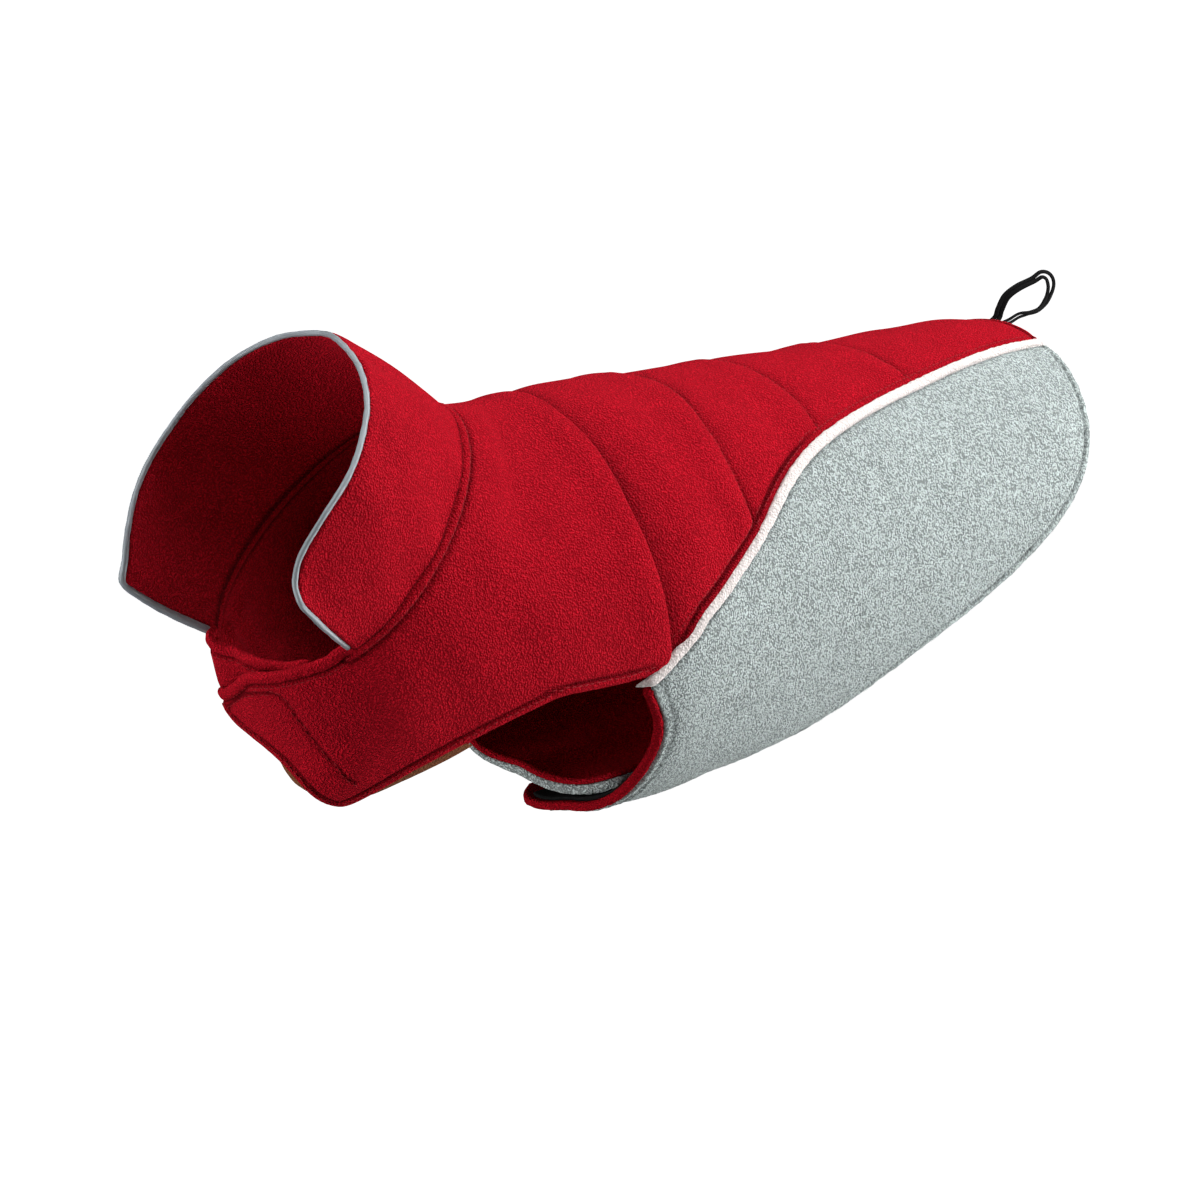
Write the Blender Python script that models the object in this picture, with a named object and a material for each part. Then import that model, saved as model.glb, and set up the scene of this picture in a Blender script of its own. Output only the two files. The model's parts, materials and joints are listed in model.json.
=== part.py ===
"""Dog winter coat: a quilted red fleece coat with fleece side panels and a standing collar.

The worn form is a soft barrel. Along the back a station says how far a place is from the nape,
and round the barrel an angle says where it is: 0 on the spine, 90 on the dog's left side and
180 on the belly. Each panel is a patch of stations and angles, laid on the form at its own depth.
The dog's nose points to -Y, its tail to +Y, its left side to +X and its back to +Z. The origin is
inside the back panel, halfway from nape to tail, where the wearer's back carries the coat.
"""
import math

import bmesh
import bpy
import numpy as np

MM = 0.001                    # the sizes and tables below are in millimetres
GAP = 0.3                     # clear space between pieces at a seam

BACK_LENGTH = 400.0           # from the nape seam to the tail hem, with the section planes' slack
NAPE_Y = -BACK_LENGTH / 2
QUILTED_WALL = 3.4            # fleece, wadding and fleece, in the middle of a quilted channel
QUILT_DIP = 1.5               # how far a quilting line pulls the outer face in
YOKE_WALL = 3.0
COLLAR_WALL = 3.2
GREY_WALL = 2.0               # long-pile side panel
LINING_WALL = 1.8             # fleece lining of a side panel
LINING_REACH = 1.6            # how far the lining rolls out past the grey at the leg opening
SIDE_PIPING_WIDTH = 5.4
SIDE_PIPING_RISE = 1.4
RIM_PIPING_RADIUS = 1.5
NECK_BAND_WIDTH = 5.0
STRIP_ROUND = 1.2             # how far a strip's sides lie below its crown
STRIP_SHOULDER = 0.62         # where its crown turns down, as a part of its half width
NECK_BAND_RISE = 0.7
PATCH_WALL = 1.0
PATCH_GAP = 1.1               # clear space under a patch, which the curve of the cloth needs
HOOK_TAPE_WALL = 1.3
HOOK_TAPE_GAP = 1.3
ELASTIC_WIDTH = 5.0
ELASTIC_WALL = 1.2

CHEST_TUCK = 6.8              # how deep the right chest flap lies under the left one
CHEST_TUCK_ANGLES = (138.0, 153.0)
BELLY_TUCK = 9.2              # how deep the right belly flap lies under the left one
BELLY_TUCK_ANGLES = (138.0, 160.0)

QUILT_LINES = (61.0, 126.0, 191.0, 271.0)   # stations of the four quilting lines
QUILT_SLOPE = 17.0                          # stations from a line to the full loft beside it
COLLAR_END = 137.0                          # angle of the collar's two front edges
SHOULDER_SLACK = 1.5          # degrees that keep the first row's corners clear of the piping
SIDES = {"left": 1, "right": -1}

# How finely the cloth is divided.
SHOULDER_COLUMNS = 16
YOKE_ROWS = 5
COLLAR_ROWS = 6
PANEL_COLUMNS = 9
LEG_ROWS = 9
FIRST_CHANNEL_ROWS = 6
LONG_CHANNEL = 90.0           # stations from which a channel takes one row more
PATCH_COLUMNS = 4
RIM_SIDES = 6

# Sections of the form: where each section plane meets the spine and the belly line, its half
# width, and how its widest place moves up (lean) and its shoulders narrow (taper).
# Columns: station, spine_z, belly_y, belly_z, half_width, lean, taper.
SECTIONS = (
    (-12.0,  -3.0, -309.0,  -88.5, 50.0, -0.14,  0.06),
    (  0.0,  -4.3, -299.0, -111.5, 55.0, -0.14,  0.03),
    ( 14.0,  -5.5, -286.0, -140.5, 61.5, -0.13,  0.02),
    ( 28.0,  -5.8, -272.0, -167.5, 68.0, -0.10, -0.28),
    ( 50.0,  -3.8, -212.0, -187.5, 77.0, -0.08, -0.20),
    ( 66.0,  -2.3, -132.0, -191.0, 83.0, -0.05, -0.18),
    ( 85.0,  -0.6, -110.0, -190.0, 84.0, -0.02, -0.08),
    (128.0,   0.5,  -70.0, -186.0, 81.0,  0.00,  0.00),
    (188.0,   2.9,  -12.0, -177.5, 79.0,  0.02,  0.00),
    (268.0,   6.7,   68.0, -160.5, 78.0,  0.00,  0.00),
    (348.0,  12.6,  146.0, -143.5, 77.0,  0.00,  0.00),
    (400.0,  11.4,  196.0, -138.5, 76.0,  0.00,  0.00),
)

# Seam between the back panel and a side panel, from the leg opening to the tail hem.
# Columns: station, angle.
SIDE_SEAM = (
    (62.0, 106.0), (67.0, 99.0), (77.0, 93.0), (93.0, 87.0), (127.0, 74.0), (159.0, 59.5),
    (187.0, 51.0), (233.0, 43.0), (296.0, 35.5), (355.0, 30.8), (386.0, 28.0),
)

# Tail hem of the back panel. Columns: angle, station.
TAIL_HEM = ((0.0, 390.0), (15.0, 388.5), (28.0, 385.5))
# Edge of a side panel from the tail hem to the end of its belly flap. Columns: station, angle.
PANEL_HEM = (
    (385.3, 31.0), (384.0, 45.0), (378.0, 66.0), (367.0, 84.0), (348.0, 98.5), (322.0, 110.0),
    (292.0, 119.5), (262.0, 128.0), (236.0, 138.0), (212.0, 152.0), (196.0, 168.0),
    (186.0, 186.0), (174.0, 199.0), (158.0, 203.0),
)
# Edge of a side panel round the back of the leg opening and along its belly flap's front.
# Columns: station, angle.
LEG_EDGE = (
    (62.5, 107.5), (65.0, 113.0), (69.0, 120.0), (73.0, 129.0), (76.0, 139.0), (79.5, 150.0),
    (83.0, 163.0), (85.5, 177.0), (88.0, 190.0), (91.0, 199.0), (101.0, 203.0),
)

# The yoke below the shoulder: its front and rear edges down each chest flap, first along the
# neck seam and then along the neck band. The left flap ends outermost, the right one under it.
# Columns: angle, front station, rear station.
LEFT_FLAP = (
    (107.5, GAP, 50.5), (112.0, GAP, 45.3), (118.0, GAP, 40.7), (125.0, GAP, 36.8),
    (131.0, GAP, 34.3), (137.0, GAP, 32.5), (140.0, 1.9, 31.8), (143.0, 1.6, 31.3),
    (149.0, 1.2, 30.6), (156.0, 0.9, 30.3), (163.0, 0.9, 30.3), (168.5, 1.0, 29.8),
    (172.0, 1.1, 28.6), (175.0, 1.2, 26.7), (178.5, 1.3, 24.6), (184.0, 1.9, 22.0),
    (190.0, 3.5, 20.2), (198.0, 6.3, 18.8), (205.0, 9.3, 17.6), (211.0, 12.0, 16.5),
)
RIGHT_FLAP = (
    (107.5, GAP, 50.5), (112.0, GAP, 45.3), (118.0, GAP, 40.7), (125.0, GAP, 36.8),
    (131.0, GAP, 34.3), (137.0, GAP, 32.5), (140.0, 1.3, 31.8), (143.0, 1.3, 31.3),
    (149.0, 1.3, 30.6), (156.0, 1.3, 30.2), (164.0, 1.3, 30.2), (172.0, 1.3, 30.4),
    (180.0, 1.3, 30.7), (188.0, 1.3, 31.0), (195.0, 1.3, 31.5), (200.0, 1.6, 32.0),
    (206.0, 6.5, 32.9), (213.0, 14.0, 34.1), (221.0, 23.0, 35.9), (230.0, 31.5, 38.6),
    (238.0, 38.5, 42.0),
)
BAND_START = 143.0            # angles between which a neck band runs
BAND_ENDS = {"left": 211.0, "right": 200.0}

# The loop patches and the hook tape: the angles they span, and their stations.
CHEST_PATCH_ANGLES = (151.5, 237.5)
CHEST_PATCH_FRONT = 8.0
CHEST_PATCH_INSET = (0.6, 0.4)  # stations that it keeps from the flap's front and rear edges
BELLY_PATCH_ANGLES = (132.0, 196.0)
BELLY_PATCH_INSET = 3.0
BELLY_PATCH_LENGTH = 68.0
HOOK_TAPE_ANGLES = (160.0, 194.0)
HOOK_TAPE_INSET = 1.0
HOOK_TAPE_LENGTH = 60.0

# Outer line of the piping on the collar's rim, a row for each place round the neck seam. The
# first row mirrors the third, so that the rim crosses the spine smoothly. Columns: angle, x, y, z.
COLLAR_RIM = (
    (-18.0, -18.5, -269.0, 25.8),
    (  0.0,  0.0, -262.0,  28.0),
    ( 18.0, 18.5, -269.0,  25.8),
    ( 37.0, 37.2, -275.9,  17.0),
    ( 55.0, 50.5, -284.5,   4.0),
    ( 72.0, 57.3, -295.0, -10.5),
    ( 88.0, 59.8, -305.7, -24.9),
    (104.0, 57.3, -316.5, -39.0),
    (120.0, 52.8, -325.2, -54.5),
    (130.0, 51.8, -327.3, -64.5),
    (137.0, 54.0, -326.5, -72.5),
)
COLLAR_BULGE = 2.5            # how far the collar bows out between seam and rim

# The elastic loop, sewn to the middle of the tail hem: it stands in a plane turned to the left.
# Columns: how far along that plane a point of it lies, and how high.
ELASTIC_BASE_Y = 190.4
ELASTIC_HEADING = 32.0
ELASTIC_STEPS = 36
ELASTIC_ROUTE = (
    ( 0.0, 10.6), ( 3.6, 12.0), ( 5.4, 16.5), ( 8.6, 22.5), (14.5, 26.8), (22.0, 30.2),
    (26.6, 32.8), (30.2, 31.4), (31.4, 27.0), (29.4, 20.8), (25.2, 16.0), (20.0, 14.3),
    (15.0, 13.2), (10.2, 10.6), ( 5.0,  9.0), ( 0.0,  8.6),
)

# Plain materials: linear colour, roughness, metallic.
COLOURS = {
    "red_fleece": ((0.40, 0.004, 0.013), 0.95, 0.0),
    "red_lining": ((0.34, 0.003, 0.011), 0.95, 0.0),
    "grey_pile": ((0.36, 0.43, 0.42), 1.0, 0.0),
    "white_piping": ((0.80, 0.76, 0.72), 0.8, 0.0),
    "reflective_piping": ((0.27, 0.28, 0.29), 0.4, 0.2),
    "loop_patch": ((0.16, 0.055, 0.02), 0.9, 0.0),
    "hook_tape": ((0.006, 0.006, 0.006), 0.7, 0.0),
    "elastic": ((0.008, 0.008, 0.009), 0.7, 0.0),
}


# ------------------------------------------------------------------ curves and the form

def read_table(rows, key):
    """Read the other columns at a key, on a smooth curve through the table's rows."""
    rows = np.array(rows)
    keys = rows[:, 0]
    values = rows[:, 1:]
    last = len(keys) - 1
    index = int(np.clip(np.searchsorted(keys, key, side="right") - 1, 0, last - 1))

    def slope(row):
        before = max(row - 1, 0)
        after = min(row + 1, last)
        return (values[after] - values[before]) / (keys[after] - keys[before])

    span = keys[index + 1] - keys[index]
    t = (key - keys[index]) / span
    return ((2 * t ** 3 - 3 * t ** 2 + 1) * values[index]
            + (t ** 3 - 2 * t ** 2 + t) * span * slope(index)
            + (3 * t ** 2 - 2 * t ** 3) * values[index + 1]
            + (t ** 3 - t ** 2) * span * slope(index + 1))


def read_line(points, steps):
    """Return steps + 1 points at equal lengths along the smooth line through some points."""
    points = np.array(points, dtype=float)
    keyed = np.column_stack([np.arange(len(points)), points])
    fine = np.array([read_table(keyed, key)
                     for key in np.linspace(0, len(points) - 1, 12 * (len(points) - 1) + 1)])
    if points.shape[1] == 2:
        places = np.array([form_point(station, angle) for station, angle in fine])
    else:
        places = fine
    lengths = np.concatenate([[0.0], np.cumsum(np.linalg.norm(np.diff(places, axis=0), axis=1))])
    wanted = np.linspace(0, lengths[-1], steps + 1)
    return np.column_stack([np.interp(wanted, lengths, fine[:, column])
                            for column in range(fine.shape[1])])


def ease(value, start, end):
    """Rise smoothly from 0 at start to 1 at end."""
    t = min(max((value - start) / (end - start), 0.0), 1.0)
    return t * t * (3 - 2 * t)


def form_point(station, angle):
    """Return the point of the form at a station and an angle."""
    spine_z, belly_y, belly_z, half_width, lean, taper = read_table(SECTIONS, station)
    spine = np.array([NAPE_Y + station, spine_z])
    belly = np.array([belly_y, belly_z])
    turn = math.radians(angle)
    up = math.cos(turn)
    width = half_width * math.sin(turn) * (1 + lean * up + taper * up * up)
    height = (spine + belly) / 2 + (spine - belly) / 2 * up
    return np.array([width, height[0], height[1]])


def form_axes(station, angle):
    """Return how the point moves with the station and with the angle, and the outward normal."""
    along = form_point(station + 0.5, angle) - form_point(station - 0.5, angle)
    around = form_point(station, angle + 0.5) - form_point(station, angle - 0.5)
    outward = np.cross(around, along)
    outward /= np.linalg.norm(outward)
    return along, around, outward


def on_form(station, angle, depth=0.0):
    """Return the point at a depth below the form's surface, or above it when negative."""
    outward = form_axes(station, angle)[2]
    return form_point(station, angle) - outward * depth


def shift_line(line, distance):
    """Move a line of stations and angles over the form, to the left of the way it runs."""
    line = np.array(line, dtype=float)
    places = np.array([form_point(station, angle) for station, angle in line])
    moved = []
    for number, (station, angle) in enumerate(line):
        before = places[max(number - 1, 0)]
        after = places[min(number + 1, len(line) - 1)]
        along, around, outward = form_axes(station, angle)
        sideways = np.cross(outward, after - before)
        sideways *= distance / np.linalg.norm(sideways)
        step = np.linalg.lstsq(np.column_stack([along, around]), sideways, rcond=None)[0]
        moved.append((station + step[0], angle + step[1]))
    return np.array(moved)


# ------------------------------------------------------------------ solids

def make_material(name):
    """Make the plain material of one kind of cloth or trim."""
    colour, roughness, metallic = COLOURS[name]
    material = bpy.data.materials.new(name)
    material.use_nodes = True
    shader = material.node_tree.nodes["Principled BSDF"]
    shader.inputs["Base Color"].default_value = (*colour, 1.0)
    shader.inputs["Roughness"].default_value = roughness
    shader.inputs["Metallic"].default_value = metallic
    material.diffuse_color = (*colour, 1.0)
    return material


def add_object(name, mesh_data, material):
    """Turn a finished bmesh into a named object with its own material."""
    bmesh.ops.recalc_face_normals(mesh_data, faces=mesh_data.faces)
    if mesh_data.calc_volume(signed=True) < 0:
        bmesh.ops.reverse_faces(mesh_data, faces=mesh_data.faces)
    mesh = bpy.data.meshes.new(name)
    mesh_data.to_mesh(mesh)
    mesh_data.free()
    mesh.shade_smooth()
    mesh.set_sharp_from_angle(angle=math.radians(40))
    mesh.materials.append(material)
    piece = bpy.data.objects.new(name, mesh)
    bpy.context.scene.collection.objects.link(piece)
    return piece


def wall(name, outside, inside, material):
    """Close two grids of points, rows by columns, into a wall with four edges."""
    rows, columns = len(outside), len(outside[0])
    mesh_data = bmesh.new()
    faces = []
    for grid in (outside, inside):
        faces.append([[mesh_data.verts.new(np.array(point) * MM) for point in row] for row in grid])
    outer, inner = faces
    for row in range(rows - 1):
        for column in range(columns - 1):
            for side in (outer, inner):
                mesh_data.faces.new((side[row][column], side[row][column + 1],
                                     side[row + 1][column + 1], side[row + 1][column]))
    border = ([(0, column) for column in range(columns)]
              + [(row, columns - 1) for row in range(1, rows)]
              + [(rows - 1, column) for column in range(columns - 2, -1, -1)]
              + [(row, 0) for row in range(rows - 2, 0, -1)])
    for number, (row, column) in enumerate(border):
        next_row, next_column = border[(number + 1) % len(border)]
        mesh_data.faces.new((outer[row][column], outer[next_row][next_column],
                             inner[next_row][next_column], inner[row][column]))
    return add_object(name, mesh_data, material)


def panel(name, grid, outer_depth, inner_depth, material):
    """Lay a grid of stations and angles on the form, between two depths."""
    outside = [[on_form(station, angle, outer_depth(station, angle)) for station, angle in row]
               for row in grid]
    inside = [[on_form(station, angle, inner_depth(station, angle)) for station, angle in row]
              for row in grid]
    return wall(name, outside, inside, material)


def bar(name, sections, material):
    """Join a row of closed sections into one bar with flat ends."""
    mesh_data = bmesh.new()
    rings = [[mesh_data.verts.new(np.array(point) * MM) for point in section]
             for section in sections]
    count = len(rings[0])
    for first, second in zip(rings, rings[1:]):
        for corner in range(count):
            following = (corner + 1) % count
            mesh_data.faces.new((first[corner], first[following],
                                 second[following], second[corner]))
    mesh_data.faces.new(rings[0])
    mesh_data.faces.new(list(reversed(rings[-1])))
    return add_object(name, mesh_data, material)


# ------------------------------------------------------------------ layers

def yoke_depth(angle):
    """Say how deep the yoke's outer face lies: the right flap passes under the left one."""
    return CHEST_TUCK * ease(-angle, *CHEST_TUCK_ANGLES)


def belly_depth(angle):
    """Say how deep a side panel's outer face lies: the right flap passes under the left one."""
    return BELLY_TUCK * ease(-angle, *BELLY_TUCK_ANGLES)


# ------------------------------------------------------------------ pieces

def seam_stations():
    """Return the stations of the back panel's rows, with each quilting line on a row."""
    stops = (*QUILT_LINES, SIDE_SEAM[-1][0])
    stations = []
    for start, end in zip(stops, stops[1:]):
        rows = FIRST_CHANNEL_ROWS if start == QUILT_LINES[0] else 4 + (end - start > LONG_CHANNEL)
        stations += [start + (end - start) * row / rows for row in range(rows)]
    return stations + [stops[-1]]


def side_seam():
    """Return the seam between back and side panel, a point for each row of the back panel."""
    return np.array([(station, *read_table(SIDE_SEAM, max(station, SIDE_SEAM[0][0])))
                     for station in seam_stations()])


def shoulder_angles():
    """Return the angles that the yoke and the back panel share at the first quilting line."""
    edge = shift_line(side_seam(), SIDE_PIPING_WIDTH / 2 + GAP)[0][1] - SHOULDER_SLACK
    return [edge * (2 * column / SHOULDER_COLUMNS - 1) for column in range(SHOULDER_COLUMNS + 1)]


def quilt_dip(station):
    """Return how deep the quilted back lies: full on a quilting line, none between two of them."""
    nearest = min(abs(station - line) for line in QUILT_LINES)
    return QUILT_DIP * (1 - ease(nearest, 0.0, QUILT_SLOPE))


def make_back_panel(material):
    """Make the quilted back, from the first quilting line to the tail hem."""
    seam = side_seam()
    edge_line = shift_line(seam, SIDE_PIPING_WIDTH / 2 + GAP)
    grid = []
    for number, station in enumerate(seam_stations()):
        edge_station, edge_angle = edge_line[number]
        if number == 0:
            edge_angle = shoulder_angles()[-1]
        row = []
        for column in range(SHOULDER_COLUMNS + 1):
            across = 2 * column / SHOULDER_COLUMNS - 1
            angle = edge_angle * across
            place = station + (edge_station - station) * across ** 4
            if number == 0:
                place = station + GAP / 2
            elif number == len(seam) - 1:
                place = read_table(TAIL_HEM, abs(angle))[0]
            row.append((place, angle))
        grid.append(row)
    return panel("back_panel", grid, lambda station, angle: quilt_dip(station),
                 lambda station, angle: QUILTED_WALL, material)


def make_yoke(material):
    """Make the plain shoulder yoke, with the two chest flaps that close under the neck."""
    seam_station = QUILT_LINES[0] - GAP / 2
    columns = [(-angle, front, rear) for angle, front, rear in reversed(RIGHT_FLAP)]
    columns += [(angle, GAP, seam_station) for angle in shoulder_angles()]
    columns += LEFT_FLAP
    grid = [[(front + (rear - front) * row / YOKE_ROWS, angle) for row in range(YOKE_ROWS + 1)]
            for angle, front, rear in columns]
    return panel("yoke", grid, lambda station, angle: yoke_depth(angle),
                 lambda station, angle: yoke_depth(angle) + YOKE_WALL, material)


def collar_angles():
    """Return the angles of the collar's columns, the same as the yoke's below it."""
    front = [angle for angle, *edges in LEFT_FLAP if angle <= COLLAR_END]
    return [-angle for angle in reversed(front)] + shoulder_angles() + front


def collar_grids():
    """Return the outside and inside points of the collar, seam row first."""
    outside, inside = [], []
    for row in range(COLLAR_ROWS + 1):
        height = row / COLLAR_ROWS
        outer_row = []
        for angle in collar_angles():
            seam = on_form(0.0, angle, yoke_depth(angle))
            side = 1 if angle >= 0 else -1
            x, y, z = read_table(COLLAR_RIM, abs(angle))
            rim = np.array([side * x, y, z])
            rise = rim - seam
            rim -= rise / np.linalg.norm(rise) * (2 * RIM_PIPING_RADIUS + GAP)
            bow = form_axes(0.0, angle)[2] * COLLAR_BULGE * math.sin(math.pi * height)
            outer_row.append(seam + (rim - seam) * height + bow)
        outside.append(outer_row)
    points = np.array(outside)
    for row in range(COLLAR_ROWS + 1):
        inner_row = []
        for column, angle in enumerate(collar_angles()):
            if row == 0:
                inner_row.append(on_form(0.0, angle, yoke_depth(angle) + COLLAR_WALL))
                continue
            up = points[min(row + 1, COLLAR_ROWS)][column] - points[row - 1][column]
            last = len(collar_angles()) - 1
            around = points[row][min(column + 1, last)] - points[row][max(column - 1, 0)]
            outward = np.cross(up, around)
            outward /= np.linalg.norm(outward)
            inner_row.append(points[row][column] - outward * COLLAR_WALL)
        inside.append(inner_row)
    return outside, inside


def make_collar(material):
    """Make the standing collar, open at the front."""
    outside, inside = collar_grids()
    return wall("collar", outside, inside, material)


def front_route(middle, column, beside, reach):
    """Return the way of the piping up one front edge of the collar."""
    route = []
    for row in range(COLLAR_ROWS + 1):
        aside = middle[row][column] - middle[row][beside]
        up = middle[min(row + 1, COLLAR_ROWS)][column] - middle[max(row - 1, 0)][column]
        aside -= up * np.dot(aside, up) / np.dot(up, up)
        route.append(middle[row][column] + aside / np.linalg.norm(aside) * reach)
    return route


def make_rim_piping(material):
    """Make the reflective piping along the collar's rim and both of its front edges."""
    outside, inside = collar_grids()
    middle = (np.array(outside) + np.array(inside)) / 2
    reach = RIM_PIPING_RADIUS + 2.5 * GAP
    right = front_route(middle, 0, 1, reach)
    left = front_route(middle, -1, -2, reach)
    top = [edge + (edge - below) / np.linalg.norm(edge - below) * reach
           for edge, below in zip(middle[-1], middle[-2])]
    first = corner_point(middle[-1][0], right[-1], top[0], reach)
    last = corner_point(middle[-1][-1], top[-1], left[-1], reach)
    route = [*right, first, *top, last, *reversed(left)]
    return bar("collar_piping", tube_sections(route, RIM_PIPING_RADIUS, RIM_SIDES), material)


def corner_point(corner, before, after, reach):
    """Return the point that carries the piping round a corner of the collar."""
    away = (before - corner) + (after - corner)
    return corner + away / np.linalg.norm(away) * reach * 1.4


def tube_sections(route, radius, sides):
    """Return round sections along a route, each square to the way it runs."""
    route = np.array(route)
    sections = []
    reference = np.array([0.0, 0.0, 1.0])
    for number, place in enumerate(route):
        before = route[max(number - 1, 0)]
        after = route[min(number + 1, len(route) - 1)]
        along = (after - before) / np.linalg.norm(after - before)
        first = reference - along * np.dot(reference, along)
        first /= np.linalg.norm(first)
        second = np.cross(along, first)
        reference = first
        sections.append([place + radius * (first * math.cos(turn) + second * math.sin(turn))
                         for turn in (2 * math.pi * side / sides for side in range(sides))])
    return sections


def strip_sections(line, width, bottom, top):
    """Return the sections of a strip sewn along a line: flat below and rounded above."""
    places = [form_point(station, angle) for station, angle in line]
    half = width / 2
    sections = []
    for number, (station, angle) in enumerate(line):
        before = places[max(number - 1, 0)]
        after = places[min(number + 1, len(line) - 1)]
        outward = form_axes(station, angle)[2]
        across = np.cross(outward, after - before)
        across /= np.linalg.norm(across)
        low, high = bottom(angle), top(angle)
        shoulder = high - STRIP_ROUND
        turn = (half * STRIP_SHOULDER, high - STRIP_ROUND / 3)
        profile = ((-half, low), (half, low), (half, shoulder), turn,
                   (0.0, high), (-turn[0], turn[1]), (-half, shoulder))
        sections.append(np.array([places[number] + across * offset + outward * height
                                  for offset, height in profile]))
    return sections


def make_side_piping(name, side, material):
    """Make the white piping in the seam between the back panel and a side panel."""
    sign = SIDES[side]
    line = [(station, sign * angle) for station, angle in side_seam()]
    sections = strip_sections(line, SIDE_PIPING_WIDTH, lambda angle: -QUILTED_WALL,
                              lambda angle: SIDE_PIPING_RISE)
    sections[0] = sections[0] + (sections[1] - sections[0]) * 0.12
    sections[-1] = sections[-1] + (sections[-2] - sections[-1]) * 0.06
    return bar(name, sections, material)


def make_neck_band(name, side, material):
    """Make the rolled band on the neck edge in front of the collar."""
    flap = LEFT_FLAP if side == "left" else RIGHT_FLAP
    line = [(front, SIDES[side] * angle) for angle, front, rear in flap
            if BAND_START <= angle <= BAND_ENDS[side]]
    line = shift_line(line, -SIDES[side] * (GAP + NECK_BAND_WIDTH / 2))
    return bar(name, strip_sections(line, NECK_BAND_WIDTH,
                                    lambda angle: -yoke_depth(angle) - YOKE_WALL,
                                    lambda angle: -yoke_depth(angle) + NECK_BAND_RISE), material)


def side_grid(lining):
    """Return the grid of a left side panel or its lining: from front edge to rear edge."""
    seam = shift_line(side_seam(), -SIDE_PIPING_WIDTH / 2 - 2 * GAP)[::-1]
    leg = read_line(LEG_EDGE, LEG_ROWS)
    front = np.concatenate([seam, leg[1:]])
    hem = read_line(PANEL_HEM, len(front) - 1)
    front[0] += (front[1] - front[0]) * 0.35
    hem[0] += (hem[1] - hem[0]) * 0.35
    grid = []
    for (front_station, front_angle), (rear_station, rear_angle) in zip(front, hem):
        grid.append([(front_station + (rear_station - front_station) * column / PANEL_COLUMNS,
                      front_angle + (rear_angle - front_angle) * column / PANEL_COLUMNS)
                     for column in range(PANEL_COLUMNS + 1)])
    if lining:
        for row, edge in zip(grid[len(seam):], shift_line(leg, -LINING_REACH)[1:]):
            row[0] = tuple(edge)
    return grid


def make_side_panel(name, side, material):
    """Make the long-pile side panel, which wraps under the belly and ends in a belly flap."""
    sign = SIDES[side]
    grid = [[(station, sign * angle) for station, angle in row] for row in side_grid(False)]
    return panel(name, grid, lambda station, angle: belly_depth(angle),
                 lambda station, angle: belly_depth(angle) + GREY_WALL, material)


def make_side_lining(name, side, material):
    """Make the lining of a side panel, which shows as a red roll at the leg opening."""
    sign = SIDES[side]
    grid = [[(station, sign * angle) for station, angle in row] for row in side_grid(True)]
    top = GREY_WALL + GAP
    return panel(name, grid, lambda station, angle: belly_depth(angle) + top,
                 lambda station, angle: belly_depth(angle) + top + LINING_WALL, material)


def make_chest_patch(material):
    """Make the loop patch on the right chest flap, under the left one."""
    first, last = CHEST_PATCH_ANGLES
    angles = [first, *[angle for angle, *edges in RIGHT_FLAP if first < angle < last], last]
    grid = []
    for angle in angles:
        front, rear = read_table(RIGHT_FLAP, angle)
        front = max(CHEST_PATCH_FRONT, front + CHEST_PATCH_INSET[0])
        rear -= CHEST_PATCH_INSET[1]
        grid.append([(front + (rear - front) * column / PATCH_COLUMNS, -angle)
                     for column in range(PATCH_COLUMNS + 1)])
    return panel("chest_loop_patch", grid,
                 lambda station, angle: yoke_depth(angle) - PATCH_GAP - PATCH_WALL,
                 lambda station, angle: yoke_depth(angle) - PATCH_GAP, material)


def belly_grid(sign, angles, steps, inset, length):
    """Return the grid of a patch that starts behind the front edge of a belly flap."""
    front_edge = [(angle, station) for station, angle in LEG_EDGE]
    grid = []
    for angle in np.linspace(*angles, steps + 1):
        front = read_table(front_edge, angle)[0] + inset
        grid.append([(front + length * column / PATCH_COLUMNS, sign * angle)
                     for column in range(PATCH_COLUMNS + 1)])
    return grid


def make_belly_patch(material):
    """Make the loop patch on the outer face of the right belly flap."""
    grid = belly_grid(-1, BELLY_PATCH_ANGLES, 12, BELLY_PATCH_INSET, BELLY_PATCH_LENGTH)
    return panel("belly_loop_patch", grid,
                 lambda station, angle: belly_depth(angle) - PATCH_GAP - PATCH_WALL,
                 lambda station, angle: belly_depth(angle) - PATCH_GAP, material)


def make_hook_tape(material):
    """Make the hook tape on the inner face of the left belly flap."""
    grid = belly_grid(1, HOOK_TAPE_ANGLES, 8, HOOK_TAPE_INSET, HOOK_TAPE_LENGTH)
    top = GREY_WALL + GAP + LINING_WALL + HOOK_TAPE_GAP
    return panel("belly_hook_tape", grid, lambda station, angle: top,
                 lambda station, angle: top + HOOK_TAPE_WALL, material)


def make_tail_loop(material):
    """Make the flat elastic loop, sewn to the tail hem by both of its ends."""
    turn = math.radians(ELASTIC_HEADING)
    heading = np.array([math.sin(turn), math.cos(turn), 0.0])
    across = np.array([math.cos(turn), -math.sin(turn), 0.0])
    base = np.array([0.0, ELASTIC_BASE_Y, 0.0])
    places = [base + heading * along + np.array([0.0, 0.0, height])
              for along, height in ELASTIC_ROUTE]
    route = read_line(places, ELASTIC_STEPS)
    half_width, half_wall = ELASTIC_WIDTH / 2, ELASTIC_WALL / 2
    sections = []
    for number, place in enumerate(route):
        before = route[max(number - 1, 0)]
        after = route[min(number + 1, len(route) - 1)]
        along = (after - before) / np.linalg.norm(after - before)
        through = np.cross(along, across)
        sections.append([place + across * half_width * a + through * half_wall * b
                         for a, b in ((-1, -1), (1, -1), (1, 1), (-1, 1))])
    sections[0] = [np.array([point[0], base[1] + GAP, point[2]]) for point in sections[0]]
    sections[-1] = [np.array([point[0], base[1] + GAP, point[2]]) for point in sections[-1]]
    return bar("tail_loop", sections, material)


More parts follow.
